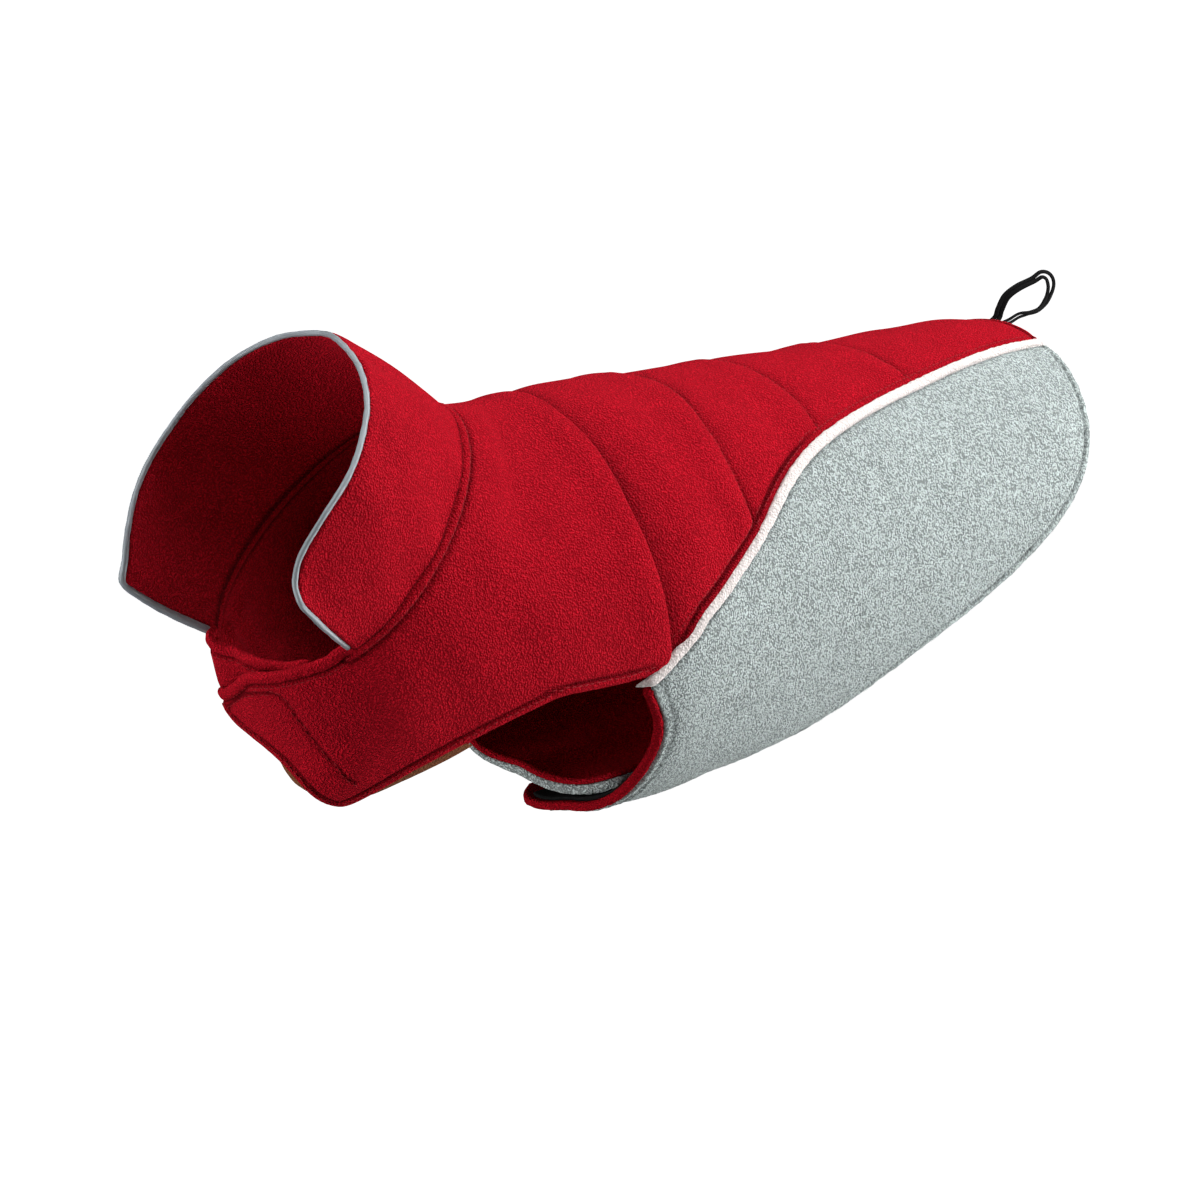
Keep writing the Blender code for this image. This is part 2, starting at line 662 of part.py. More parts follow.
def main():
    """Clear the scene and make every piece of the coat."""
    for old in list(bpy.data.objects):
        bpy.data.objects.remove(old)
    cloth = {name: make_material(name) for name in COLOURS}
    make_back_panel(cloth["red_fleece"])
    make_yoke(cloth["red_fleece"])
    make_collar(cloth["red_fleece"])
    make_rim_piping(cloth["reflective_piping"])
    for side in SIDES:
        make_side_panel(f"side_panel_{side}", side, cloth["grey_pile"])
        make_side_lining(f"side_lining_{side}", side, cloth["red_lining"])
        make_side_piping(f"side_piping_{side}", side, cloth["white_piping"])
        make_neck_band(f"neck_band_{side}", side, cloth["red_fleece"])
    make_chest_patch(cloth["loop_patch"])
    make_belly_patch(cloth["loop_patch"])
    make_hook_tape(cloth["hook_tape"])
    make_tail_loop(cloth["elastic"])


main()
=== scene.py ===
"""Dog winter coat: the cloth, trim, closures and stitching of a quilted fleece coat.

The worn form is a soft barrel. Along the back a station says how far a place is from the nape,
and round the barrel an angle says where it is: 0 on the spine, 90 on the dog's left side and
180 on the belly. Every panel is a patch of stations and angles laid on that form, with its loft,
folds and stitched dents added outwards. The tables are in millimetres.
"""
import json
import math

import bpy
import numpy as np
from mathutils import Matrix, bvhtree, kdtree

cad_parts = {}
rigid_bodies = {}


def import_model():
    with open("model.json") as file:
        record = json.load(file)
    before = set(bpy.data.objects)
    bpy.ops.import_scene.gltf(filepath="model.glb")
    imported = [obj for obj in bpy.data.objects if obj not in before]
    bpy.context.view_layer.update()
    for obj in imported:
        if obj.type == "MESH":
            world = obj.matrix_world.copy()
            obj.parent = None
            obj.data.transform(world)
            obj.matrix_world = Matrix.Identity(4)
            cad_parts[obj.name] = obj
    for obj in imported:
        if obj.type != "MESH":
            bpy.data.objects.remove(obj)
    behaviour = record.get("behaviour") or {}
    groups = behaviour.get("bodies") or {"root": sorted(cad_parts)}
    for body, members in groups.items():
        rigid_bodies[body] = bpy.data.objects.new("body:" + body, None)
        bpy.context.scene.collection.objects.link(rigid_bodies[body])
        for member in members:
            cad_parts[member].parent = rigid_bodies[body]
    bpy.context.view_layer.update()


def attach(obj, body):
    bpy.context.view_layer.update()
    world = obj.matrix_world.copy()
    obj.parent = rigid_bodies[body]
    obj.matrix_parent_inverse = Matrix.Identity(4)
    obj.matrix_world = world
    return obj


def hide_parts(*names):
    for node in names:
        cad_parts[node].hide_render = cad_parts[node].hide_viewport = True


bl_info = {
    "name": "Dog Winter Coat",
    "version": (1, 0, 0),
    "blender": (4, 5, 0),
    "location": "View3D > Sidebar > Coat",
    "description": "Makes the cloth, trim and stitching of a quilted fleece dog coat",
    "category": "Object",
}

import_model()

MM = 0.001
PAINTED_SHADE_ATTRIBUTE = "crease"          # name of the attribute holding the painted shade in sewn lines and creases, from 0 to 1
CREASE_SHADE = 0.30        # how much of the colour is left under the full painted shade of a sewn line
NAPE_Y = -200.0
SIDES = {"left": 1, "right": -1}

# ---- the cut, in stations and angles

# Sections of the form. Columns: station, spine_z, belly_y, belly_z, half_width, lean, taper.
SECTIONS = (
    (-12.0,  -3.0, -309.0,  -88.5, 50.0, -0.14,  0.06),
    (  0.0,  -4.3, -299.0, -111.5, 55.0, -0.14,  0.03),
    ( 14.0,  -5.5, -286.0, -140.5, 61.5, -0.13,  0.02),
    ( 28.0,  -5.8, -272.0, -167.5, 68.0, -0.10, -0.28),
    ( 50.0,  -3.8, -212.0, -187.5, 77.0, -0.08, -0.20),
    ( 66.0,  -2.3, -132.0, -191.0, 83.0, -0.05, -0.18),
    ( 85.0,  -0.6, -110.0, -190.0, 84.0, -0.02, -0.08),
    (128.0,   0.5,  -70.0, -186.0, 81.0,  0.00,  0.00),
    (188.0,   2.9,  -12.0, -177.5, 79.0,  0.02,  0.00),
    (268.0,   6.7,   68.0, -160.5, 78.0,  0.00,  0.00),
    (348.0,  12.6,  146.0, -143.5, 77.0,  0.00,  0.00),
    (400.0,  11.4,  196.0, -138.5, 76.0,  0.00,  0.00),
)
# Seam between the back panel and a side panel. Columns: station, angle.
SIDE_SEAM = (
    (62.0, 106.0), (67.0, 99.0), (77.0, 93.0), (93.0, 87.0), (127.0, 74.0), (159.0, 59.5),
    (187.0, 51.0), (233.0, 43.0), (296.0, 35.5), (355.0, 30.8), (386.0, 28.0),
)
# Hem of the back panel over the tail. Columns: angle, station.
TAIL_HEM = ((-15.0, 388.5), (0.0, 390.0), (15.0, 388.5), (28.0, 385.5))
# Edge of a side panel from the tail hem to the end of its belly flap. Columns: station, angle.
PANEL_HEM = (
    (385.3, 31.0), (384.0, 45.0), (378.0, 66.0), (367.0, 84.0), (348.0, 98.5), (322.0, 110.0),
    (292.0, 119.5), (262.0, 128.0), (236.0, 138.0), (212.0, 152.0), (196.0, 168.0),
    (186.0, 186.0), (174.0, 199.0), (158.0, 203.0),
)
# Edge of a side panel round the leg opening and along its belly flap. Columns: station, angle.
LEG_EDGE = (
    (62.5, 107.5), (65.0, 113.0), (69.0, 120.0), (73.0, 129.0), (76.0, 139.0), (79.5, 150.0),
    (83.0, 163.0), (85.5, 177.0), (88.0, 190.0), (91.0, 199.0), (101.0, 203.0),
)
# The yoke below the shoulder, down each chest flap. Columns: angle, front and rear station.
LEFT_FLAP = (
    (107.5, 0.0, 50.5), (112.0, 0.0, 45.3), (118.0, 0.0, 40.7), (125.0, 0.0, 36.9),
    (131.0, 0.0, 34.6), (137.0, 0.0, 33.0), (140.0, 0.4, 32.4), (143.0, 0.8, 32.0),
    (149.0, 1.2, 31.5), (156.0, 0.9, 31.3), (160.5, 0.9, 31.3), (163.5, 0.9, 31.2),
    (166.0, 1.0, 30.9), (168.5, 1.0, 29.9), (171.0, 1.1, 27.6), (174.0, 1.2, 24.4),
    (177.5, 1.3, 21.6), (181.5, 1.5, 19.3), (185.5, 1.9, 17.8), (190.0, 3.1, 16.7),
    (197.0, 5.7, 15.8), (204.0, 8.4, 14.9), (209.5, 10.4, 14.2), (213.5, 11.4, 13.8),
)
RIGHT_FLAP = (
    (107.5, 0.0, 50.5), (112.0, 0.0, 45.3), (118.0, 0.0, 40.7), (125.0, 0.0, 36.8),
    (131.0, 0.0, 34.3), (137.0, 0.0, 32.5), (140.0, 0.4, 31.8), (143.0, 0.8, 31.3),
    (149.0, 1.3, 30.6), (156.0, 1.3, 30.2), (164.0, 1.3, 30.3), (172.0, 1.3, 30.7),
    (180.0, 1.3, 31.3), (188.0, 1.3, 32.3), (195.0, 1.3, 33.1), (200.0, 1.6, 33.6),
    (206.0, 6.5, 34.2), (213.0, 14.0, 35.0), (221.0, 23.0, 36.7), (229.0, 31.0, 39.0),
    (233.5, 34.8, 40.4),
)
COLLAR_END = 137.0
COLLAR_LAP, COLLAR_DEPTH = 2.3, 1.5   # how far and how deep the collar reaches into the yoke
NECK_STITCH = 5.2                     # from the neck seam to its line of topstitching
SEAM_LAP = 0.9                        # how far the yoke reaches under the first quilted channel
BAND_START = 126.0
BAND_ENDS = {"left": 213.0, "right": 200.0}
# Quilting lines: the row each one is sewn on, and where it runs. Columns: angle, station.
QUILT_ROWS = (61.0, 126.0, 191.0, 271.0)
QUILT_CURVES = (
    ((-21.0, 57.5), (0.0, 56.5), (21.0, 57.5), (34.0, 60.0), (49.0, 61.0), (62.0, 61.0),
     (74.0, 62.0), (84.0, 63.0), (93.0, 64.0), (106.0, 64.5)),
    ((-20.0, 127.5), (0.0, 128.5), (20.0, 127.5), (38.0, 124.0), (58.0, 124.5), (74.0, 128.0)),
    ((-20.0, 190.5), (0.0, 187.0), (20.0, 190.5), (35.0, 192.0), (52.0, 192.0)),
    ((-20.0, 271.0), (0.0, 264.0), (20.0, 271.0), (37.0, 273.0), (42.0, 273.0)),
)
# Line of the stitching that holds the hook tape on the left chest flap. Columns: station, angle.
TAPE_STITCHING = (
    (11.9, 208.5), (8.3, 201.0), (5.0, 192.0), (3.4, 180.0), (3.6, 174.6), (4.9, 171.0),
    (9.6, 167.6), (15.4, 163.7), (21.2, 157.2), (26.0, 153.0),
)
# Outer line of the piping on the collar's rim. Columns: angle, x, y, z.
COLLAR_RIM = (
    (-18.0, -18.5, -269.0, 27.8), (0.0, 0.0, -262.0, 30.2), (18.0, 18.5, -269.0, 27.8),
    (37.0, 37.2, -275.9, 18.4), (55.0, 50.5, -284.5, 4.6), (72.0, 57.3, -295.0, -10.5),
    (88.0, 59.8, -305.7, -24.9), (104.0, 57.3, -316.5, -39.0), (120.0, 52.8, -325.2, -54.5),
    (130.0, 51.8, -327.3, -64.5), (137.0, 54.0, -326.5, -72.5),
)
# The elastic loop stands in a plane turned to the left. Columns: how far along, how high.
ELASTIC_BASE = (0.0, 190.4, 0.0)
ELASTIC_END = 9.4                     # height of both ends, inside the tail hem
ELASTIC_HEADING = math.radians(32.0)
ELASTIC_ROUTE = (
    ( 0.0, 10.6), ( 3.6, 12.0), ( 5.4, 16.5), ( 8.6, 22.5), (14.5, 26.8), (22.0, 30.2),
    (26.6, 32.8), (30.2, 31.4), (31.4, 27.0), (29.4, 20.8), (25.2, 16.0), (20.0, 14.3),
    (15.0, 13.2), (10.2, 10.6), ( 5.0,  9.0), ( 0.0,  8.6),
)

# Depths of the layers below the form's surface.
CHEST_TUCK, CHEST_TUCK_ANGLES = 6.8, (142.0, 156.0)
CHEST_DIVE, CHEST_DIVE_STATIONS = 5.6, (9.0, 20.0)
CHEST_DIVE_START, CHEST_DIVE_END = (112.0, 140.0), (150.0, 172.0)
FLAP_CORNER_LIFT, FLAP_CORNER_ANGLES = 3.0, (192.0, 213.0)
BELLY_TUCK, BELLY_TUCK_ANGLES = 9.2, (138.0, 160.0)
BELLY_DROOP, BELLY_DROOP_ANGLES = 7.6, (178.0, 203.0)
# How much wider than the other hems the hem at the end of each chest flap is.
END_HEM = {"left": 1.6, "right": 1.0}
# How far the lining rolls out beyond the pile round each leg opening.
LINING_REACH = {"left": 3.4, "right": 0.3}
# How far the pile and the inner face of the lining swell in the roll round each leg opening.
LEG_ROLL, LINING_ROLL = {"left": 0.0, "right": 2.0}, {"left": 0.3, "right": 0.9}
LEG_STITCH, TAIL_STITCH = 5.0, 0.7    # from an edge to its stitches, less the hem at the tail
SHOULDER_END = 103.5                  # angle where the yoke's quilting line ends
FLAP_START = 139.0                    # angle where the chest flaps leave the neck seam
CHEST_PATCH, BELLY_PATCH, HOOK_TAPE = (144.5, 233.0), (136.0, 196.0), (150.0, 199.0)  # angles
PATCH_LENGTH = 60.0                   # from the belly flap's leg edge to a belly patch's rear
FAR = 1e3                             # farther than any place of the coat from a line
# Folds inside the neck. Columns: angle, width, depth, first and last station.
INSIDE_FOLDS = (
    (-150.0, 4.5, 3.0, 2.0, 30.0), (-163.0, 3.6, 2.4, 0.0, 26.0), (-174.0, 4.0, 2.2, 4.0, 30.0),
    (-126.0, 5.0, 2.6, 3.0, 36.0), (-112.0, 5.0, 1.6, 6.0, 40.0), (131.0, 5.0, 2.0, 3.0, 34.0),
    (150.0, 4.0, 1.8, 3.0, 26.0),
)
# Folds of the collar. Columns: angle at the rim, lean, width, height.
COLLAR_FOLDS = ((24.0, 10.0, 5.0, -0.9), (36.0, 12.0, 6.0, 0.7), (-30.0, -12.0, 6.0, -0.8),
                (-44.0, -10.0, 7.0, 0.6))
# How the elastic leans. Rows: share of its length, degrees.
ELASTIC_LEAN = ((0.0, 0.03, 0.09, 0.3, 0.42, 0.5, 0.62, 0.74, 0.92, 0.97, 1.0),
                (8.0, 10.0, 66.0, 66.0, 40.0, 62.0, 70.0, 28.0, 46.0, 8.0, 8.0))

# The sheets as cut. Columns: piece, width and length in metres, area, how it is held, what it
# rests on, and the pieces sewn to it.
SHEETS = (
    ("back_panel_quilted", (0.316, 0.33), 0.0499, "draped", "wearer_back",
     ("side_piping_left_roll", "side_piping_right_roll", "back_topstitching")),
    ("yoke_with_flaps", (0.64, 0.145), 0.0444, "draped", "wearer_back",
     ("neck_band_left_roll", "neck_band_right_roll", "yoke_topstitching")),
    ("collar_cloth", (0.31, 0.075), 0.0213, "draped", "yoke_with_flaps", ("collar_rim_piping",)),
    *((f"side_panel_{side}_pile", (0.40, 0.17), 0.0437, "draped", f"side_lining_{side}_cloth",
       (f"side_topstitching_{side}",)) for side in SIDES),
    *((f"side_lining_{side}_cloth", (0.40, 0.17), 0.0423, "laid", f"side_panel_{side}_pile", ())
      for side in SIDES),
    ("chest_loop_patch_cloth", (0.107, 0.049), 0.0034, "laid", "yoke_with_flaps", ()),
    ("belly_loop_patch_cloth", (0.088, 0.054), None, "laid", "side_panel_right_pile", ()),
    ("belly_hook_tape_strip", (0.065, 0.056), None, "laid", "side_lining_left_cloth", ()),
)

# Places near an edge where a panel's grid lines lie, in millimetres from the edge.
EDGE_STEPS = (0.0, 0.12, 0.45, 1.0, 1.6, 2.2, 2.8, 3.3, 3.8, 4.3, 4.8, 5.5, 6.5, 8.0)


# ---- curves and the form

def read_table(rows, keys):
    """Read the other columns at some keys, on a smooth curve through the table's rows."""
    rows = np.asarray(rows, dtype=float)
    keys = np.asarray(keys, dtype=float)
    places, values = rows[:, 0], rows[:, 1:]
    last = len(places) - 1
    slopes = np.gradient(values, axis=0)
    slopes[1:-1] = (values[2:] - values[:-2]) / (places[2:] - places[:-2])[:, None]
    slopes[0] = (values[1] - values[0]) / (places[1] - places[0])
    slopes[-1] = (values[-1] - values[-2]) / (places[-1] - places[-2])
    index = np.clip(np.searchsorted(places, keys, side="right") - 1, 0, last - 1)
    span = (places[index + 1] - places[index])[..., None]
    t = (keys - places[index])[..., None] / span
    return ((2 * t ** 3 - 3 * t ** 2 + 1) * values[index]
            + (t ** 3 - 2 * t ** 2 + t) * span * slopes[index]
            + (3 * t ** 2 - 2 * t ** 3) * values[index + 1]
            + (t ** 3 - t ** 2) * span * slopes[index + 1])


def ease(value, start, end):
    """Rise smoothly from 0 at start to 1 at end."""
    t = np.clip((np.asarray(value, dtype=float) - start) / (end - start), 0.0, 1.0)
    return t * t * (3 - 2 * t)


def unit(vectors):
    """Scale vectors to length 1."""
    return vectors / np.maximum(np.linalg.norm(vectors, axis=-1, keepdims=True), 1e-9)


def form_point(station, angle):
    """Return points of the form at stations and angles."""
    station, angle = np.broadcast_arrays(np.asarray(station, float), np.asarray(angle, float))
    row = read_table(SECTIONS, station)
    spine_z, belly_y, belly_z, half_width, lean, taper = np.moveaxis(row, -1, 0)
    turn = np.radians(angle)
    up = np.cos(turn)
    spine_y = NAPE_Y + station
    width = half_width * np.sin(turn) * (1 + lean * up + taper * up * up)
    return np.stack([width, (spine_y + belly_y) / 2 + (spine_y - belly_y) / 2 * up,
                     (spine_z + belly_z) / 2 + (spine_z - belly_z) / 2 * up], axis=-1)


def form_steps(station, angle):
    """Return how the form's points move by one step along the back, and by one degree round."""
    station, angle = np.asarray(station, float), np.asarray(angle, float)
    return (form_point(station + 0.5, angle) - form_point(station - 0.5, angle),
            form_point(station, angle + 0.5) - form_point(station, angle - 0.5))


def form_normal(station, angle):
    """Return the form's outward normals at stations and angles."""
    along, around = form_steps(station, angle)
    return unit(np.cross(around, along))


def on_form(station, angle, depth=0.0):
    """Return points at a depth below the form's surface, or above it when negative."""
    depth = np.asarray(depth, dtype=float)
    return form_point(station, angle) - form_normal(station, angle) * depth[..., None]


def smooth_line(points, spacing):
    """Return points at about equal spacing along the smooth line through some points."""
    points = np.asarray(points, dtype=float)
    keyed = np.column_stack([np.arange(len(points)), points])
    fine = read_table(keyed, np.linspace(0, len(points) - 1, 24 * (len(points) - 1) + 1))
    return even_line(fine, spacing)


def run_lengths(places):
    """Return how far along a line of places each of them is."""
    return np.concatenate([[0.0], np.cumsum(np.linalg.norm(np.diff(places, axis=0), axis=1))])


def count_line(line, count=None, spacing=1.0):
    """Return points at equal steps along a line of stations and angles, or of places."""
    lengths = run_lengths(form_point(*line.T) if line.shape[1] == 2 else line)
    count = count or max(int(round(lengths[-1] / spacing)), 2) + 1
    wanted = np.linspace(0, lengths[-1], count)
    return np.column_stack([np.interp(wanted, lengths, column) for column in line.T])


def even_line(line, spacing):
    """Return points at about equal spacing along a line."""
    return count_line(line, None, spacing)


def shift_line(line, distance):
    """Move a line of stations and angles over the form, to the left of the way it runs."""
    station, angle = np.asarray(line, dtype=float).T
    along, around = form_steps(station, angle)
    sideways = unit(np.cross(unit(np.cross(around, along)), tangents(form_point(station, angle))))
    sideways *= distance
    a, b, c = (along * along).sum(1), (along * around).sum(1), (around * around).sum(1)
    p, q = (along * sideways).sum(1), (around * sideways).sum(1)
    spread = a * c - b * b
    return np.column_stack([station + (c * p - b * q) / spread, angle + (a * q - b * p) / spread])


def tangents(places):
    """Return the directions of a line of places."""
    padded = np.concatenate([places[:1], places, places[-1:]])
    return unit(padded[2:] - padded[:-2])


def apart(points, line, step=0.5):
    """Return how far each point is from a line of places."""
    close = []
    for first, second in zip(line, line[1:]):
        pieces = max(int(np.linalg.norm(second - first) / step), 1)
        close.append(first + (second - first) * np.linspace(0, 1, pieces, endpoint=False)[:, None])
    close = np.concatenate([*close, line[-1:]])
    tree = kdtree.KDTree(len(close))
    for number, place in enumerate(close):
        tree.insert(place, number)
    tree.balance()
    return np.array([tree.find(point)[2] for point in points.reshape(-1, 3)]).reshape(
        points.shape[:-1])


def sway(points, wavelength, height, seed):
    """Return a soft unevenness over some points: a few slow waves in different directions."""
    draw = np.random.default_rng(seed)
    total = np.zeros(points.shape[:-1])
    for _ in range(6):
        direction = unit(draw.normal(size=3)) * draw.uniform(0.7, 1.5)
        total += np.sin(points @ direction * (2 * math.pi / wavelength)
                        + draw.uniform(0, 2 * math.pi))
    return total * height / 2.4


# ---- meshes

def lay_steps(lengths, spacing, near=EDGE_STEPS):
    """Return places from 0 to 1 along each line, closer together near both of its ends."""
    near = np.array(near)
    count = max(int((np.max(lengths) - 2 * near[-1]) / spacing), 2)
    scale = np.minimum(1.0, 0.46 * lengths / near[-1])
    head = near[None, :] * (scale / lengths)[:, None]
    tail = 1 - head[:, ::-1]
    middle = np.linspace(0, 1, count + 2)[None, 1:-1]
    middle = head[:, -1:] + (tail[:, :1] - head[:, -1:]) * middle
    return np.hstack([head, middle, tail])


def step_along(places, values, spacing, near=EDGE_STEPS):
    """Read values along a line of places at a grid's steps."""
    lengths = run_lengths(places)
    share = lay_steps(lengths[-1:], spacing, near)[0]
    return np.interp(share * lengths[-1], lengths, values)


def add_mesh(name, points, faces, slot, replaced=(), crease=None, finish=None):
    """Turn points in millimetres and faces into a smooth, finished piece that rides on the coat."""
    mesh = bpy.data.meshes.new(name)
    mesh.from_pydata(np.asarray(points) * MM, [], faces)
    mesh.shade_smooth()
    # the painted shade of sewn lines and creases goes into an attribute of the mesh
    if crease is not None:
        layer = mesh.attributes.new(PAINTED_SHADE_ATTRIBUTE, "FLOAT", "POINT")
        layer.data.foreach_set("value", np.clip(crease, 0.0, 1.0).astype(np.float32))
    piece = bpy.data.objects.new(name, mesh)
    bpy.context.scene.collection.objects.link(piece)
    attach(piece, "root")
    if replaced:
        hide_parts(*replaced)
    mesh.materials.append(finish or finish_of(slot))
    return piece


def grid_faces(index, flip):
    """Return the faces between the points of a grid of indices."""
    corners = (index[:-1, :-1], index[:-1, 1:], index[1:, 1:], index[1:, :-1])
    faces = np.stack([corner.ravel() for corner in corners], axis=1)
    return faces[:, ::-1] if flip else faces


def make_shell(name, middle, normal, outer, inner, slot, replaced, crease=None,
               inner_painted_shade=None):
    """Close a sheet of cloth: its two faces stand off a middle grid and meet along its border."""
    rows, columns = middle.shape[:2]
    outside = middle + normal * outer[..., None]
    inside = middle - normal * inner[..., None]
    top = np.arange(rows * columns).reshape(rows, columns)
    under = np.array(top)
    count = (rows - 2) * (columns - 2)
    under[1:-1, 1:-1] = rows * columns + np.arange(count).reshape(rows - 2, columns - 2)
    points = np.concatenate([outside.reshape(-1, 3), inside[1:-1, 1:-1].reshape(-1, 3)])
    a, b = rows // 2, columns // 2
    facing = np.cross(middle[a, b + 1] - middle[a, b], middle[a + 1, b] - middle[a, b])
    flip = float(np.dot(facing, normal[a, b])) < 0
    faces = np.concatenate([grid_faces(top, flip), grid_faces(under, not flip)])
    # painted shade of each face in its sewn lines; none where none is given
    crease, inner_painted_shade = (np.zeros((rows, columns)) if given is None else given
                            for given in (crease, inner_painted_shade))
    depth = np.concatenate([crease.ravel(), inner_painted_shade[1:-1, 1:-1].ravel()])
    return add_mesh(name, points, faces.tolist(), slot, replaced, depth)


def rounded(distance, radius):
    """Return the height of a rounded edge, from 0 on the border to 1 at the radius."""
    share = np.clip(distance / radius, 0.0, 1.0)
    return np.sqrt(np.clip(1 - (1 - share) ** 2, 0.0, 1.0))


def dent(distance, width):
    """Return the depth of a sewn dent, 1 on the line of stitches."""
    return np.exp(-(distance / width) ** 2)


def border_of(grid):
    """Return the places round a grid's border, as one closed line."""
    return np.concatenate([grid[0], grid[1:, -1], grid[-1, -2::-1], grid[-2::-1, 0]])


def make_roll(name, centres, across, outward, half_width, half_height, slot, replaced=(),
              around=18, unevenness=0.0, seed=1, cap=1.0):
    """Make a soft roll along a line of centres, with round ends and a UV map along it."""
    count = len(centres)
    half_width, half_height = (np.broadcast_to(half, count) for half in (half_width, half_height))
    lengths = run_lengths(centres)
    reach = np.minimum(lengths, lengths[-1] - lengths)
    ends = rounded(reach, half_height.mean() * cap)
    turns = np.linspace(0, 2 * math.pi, around, endpoint=False)
    ring = (across[:, None, :] * (np.cos(turns) * half_width[:, None])[..., None]
            + outward[:, None, :] * (np.sin(turns) * half_height[:, None])[..., None])
    ring *= np.maximum(ends, 0.02)[:, None, None]
    points = centres[:, None, :] + ring
    if unevenness:
        swell = sway(points, 7.0, unevenness, seed) + sway(points, 2.6, unevenness * 0.5, seed + 1)
        points = points + unit(ring) * (swell * ends[:, None])[..., None]
    index = np.arange(count * around).reshape(count, around)
    closed = np.hstack([index, index[:, :1]])
    side = np.cross(points[count // 2, 1] - points[count // 2, 0],
                    points[count // 2 + 1, 0] - points[count // 2, 0])
    flip = float(np.dot(side, ring[count // 2, 0])) < 0
    faces = grid_faces(closed, flip).tolist()
    first, last = index[0].tolist(), index[-1].tolist()
    faces += [first if flip else first[::-1], last[::-1] if flip else last]
    piece = add_mesh(name, points.reshape(-1, 3), faces, slot, replaced)
    uv = piece.data.uv_layers.new(name="along")
    loops = np.zeros(len(piece.data.loops), dtype=np.int64)
    piece.data.loops.foreach_get("vertex_index", loops)
    girth = math.pi * (half_width.mean() + half_height.mean())
    u = lengths[loops // around] * MM
    v = (loops % around) / around
    wraps = np.zeros(len(loops), dtype=bool)
    quads = (count - 1) * around * 4
    corner = v[:quads].reshape(-1, 4)
    wraps[:quads] = np.repeat(corner.max(axis=1) - corner.min(axis=1) > 0.5, 4) & (v[:quads] < 0.5)
    v = (v + wraps) * girth * MM
    uv.data.foreach_set("uv", np.column_stack([u, v]).ravel())
    return piece


# ---- layers

def yoke_depth(station, angle):
    """Say how deep the yoke's outer face lies: the right flap passes under the left one.

    The right side of the chest is drawn in towards its flap, the neck bulges in front of that,
    and the left flap's corner stands off the chest.
    """
    angle = np.asarray(angle, dtype=float)
    behind = ease(station, *CHEST_DIVE_STATIONS)
    dive = behind * ease(-angle, *CHEST_DIVE_START) * (1 - ease(-angle, *CHEST_DIVE_END))
    return (CHEST_TUCK * ease(-angle, *CHEST_TUCK_ANGLES) + CHEST_DIVE * dive
            + 2.2 * dent(angle + 179.0, 15.0) - 2.6 * dent(angle + 147.0, 7.0) * (1 - behind)
            - FLAP_CORNER_LIFT * ease(angle, *FLAP_CORNER_ANGLES))


def belly_depth(angle):
    """Say how deep a side panel's outer face lies: the right flap passes under the left one."""
    angle = np.asarray(angle, dtype=float)
    return (BELLY_TUCK * ease(-angle, *BELLY_TUCK_ANGLES)
            - BELLY_DROOP * ease(angle, *BELLY_DROOP_ANGLES))


def side_seam(stations):
    """Return the seam between back and side panel at some stations."""
    angles = read_table(SIDE_SEAM, np.clip(stations, SIDE_SEAM[0][0], SIDE_SEAM[-1][0]))[:, 0]
    return np.column_stack([stations, angles])


def quilt_station(row, angle):
    """Return the real station of a quilted row, which runs as its quilting lines do."""
    angle = np.abs(angle)
    lines = [read_table(curve, np.minimum(angle, curve[-1][0]))[..., 0] for curve in QUILT_CURVES]
    lines.append(read_table(TAIL_HEM, np.minimum(angle, 28.0))[..., 0])
    stops = (*QUILT_ROWS, SIDE_SEAM[-1][0])
    result = np.zeros(np.shape(angle))
    for number in range(len(stops) - 1):
        share = (row - stops[number]) / (stops[number + 1] - stops[number])
        inside = (share >= 0) & (share <= 1.0001)
        result = np.where(inside, lines[number] + (lines[number + 1] - lines[number]) * share,
                          result)
    return result


def quilt_painted_shade(after):
    """Say how much painted shade lies a distance behind a quilting line, or before it if negative.
    """
    return np.where(after < 0, dent(after, 0.7), np.exp(-np.maximum(after, 0) / 3.2))


def quilt_share(angle):
    """Say how much of the quilting's depth shows: the spine lies flatter than the flanks."""
    return 0.5 + 0.6 * ease(np.abs(angle), 14.0, 40.0)


def quilt_relief(row):
    """Return the height of the quilted loft: each channel swells, then rolls into its line."""
    stops = (*QUILT_ROWS, SIDE_SEAM[-1][0] + 60.0)
    height = np.zeros(np.shape(row))
    for start, end in zip(stops, stops[1:]):
        after, before = np.maximum(row - start, 0), np.maximum(end - row, 0)
        roll = 1 - rounded(before, 2.8)
        rise = 0.55 * np.exp(-after / 2.2) + 0.45 * np.exp(-after / 11.0)
        swell = mm("quilt_loft") * dent(before - 8.0, 10.0)
        height = np.where((row >= start) & (row < end),
                          -mm("quilt_dip") * np.maximum(rise, roll) + swell * (1 - roll), height)
    return height


# ---- sizes and colours

def size_property(name, default, least, most, description):
    """Return one size property."""
    return bpy.props.FloatProperty(name=name, default=default, min=least, max=most,
                                   unit="LENGTH", description=description)


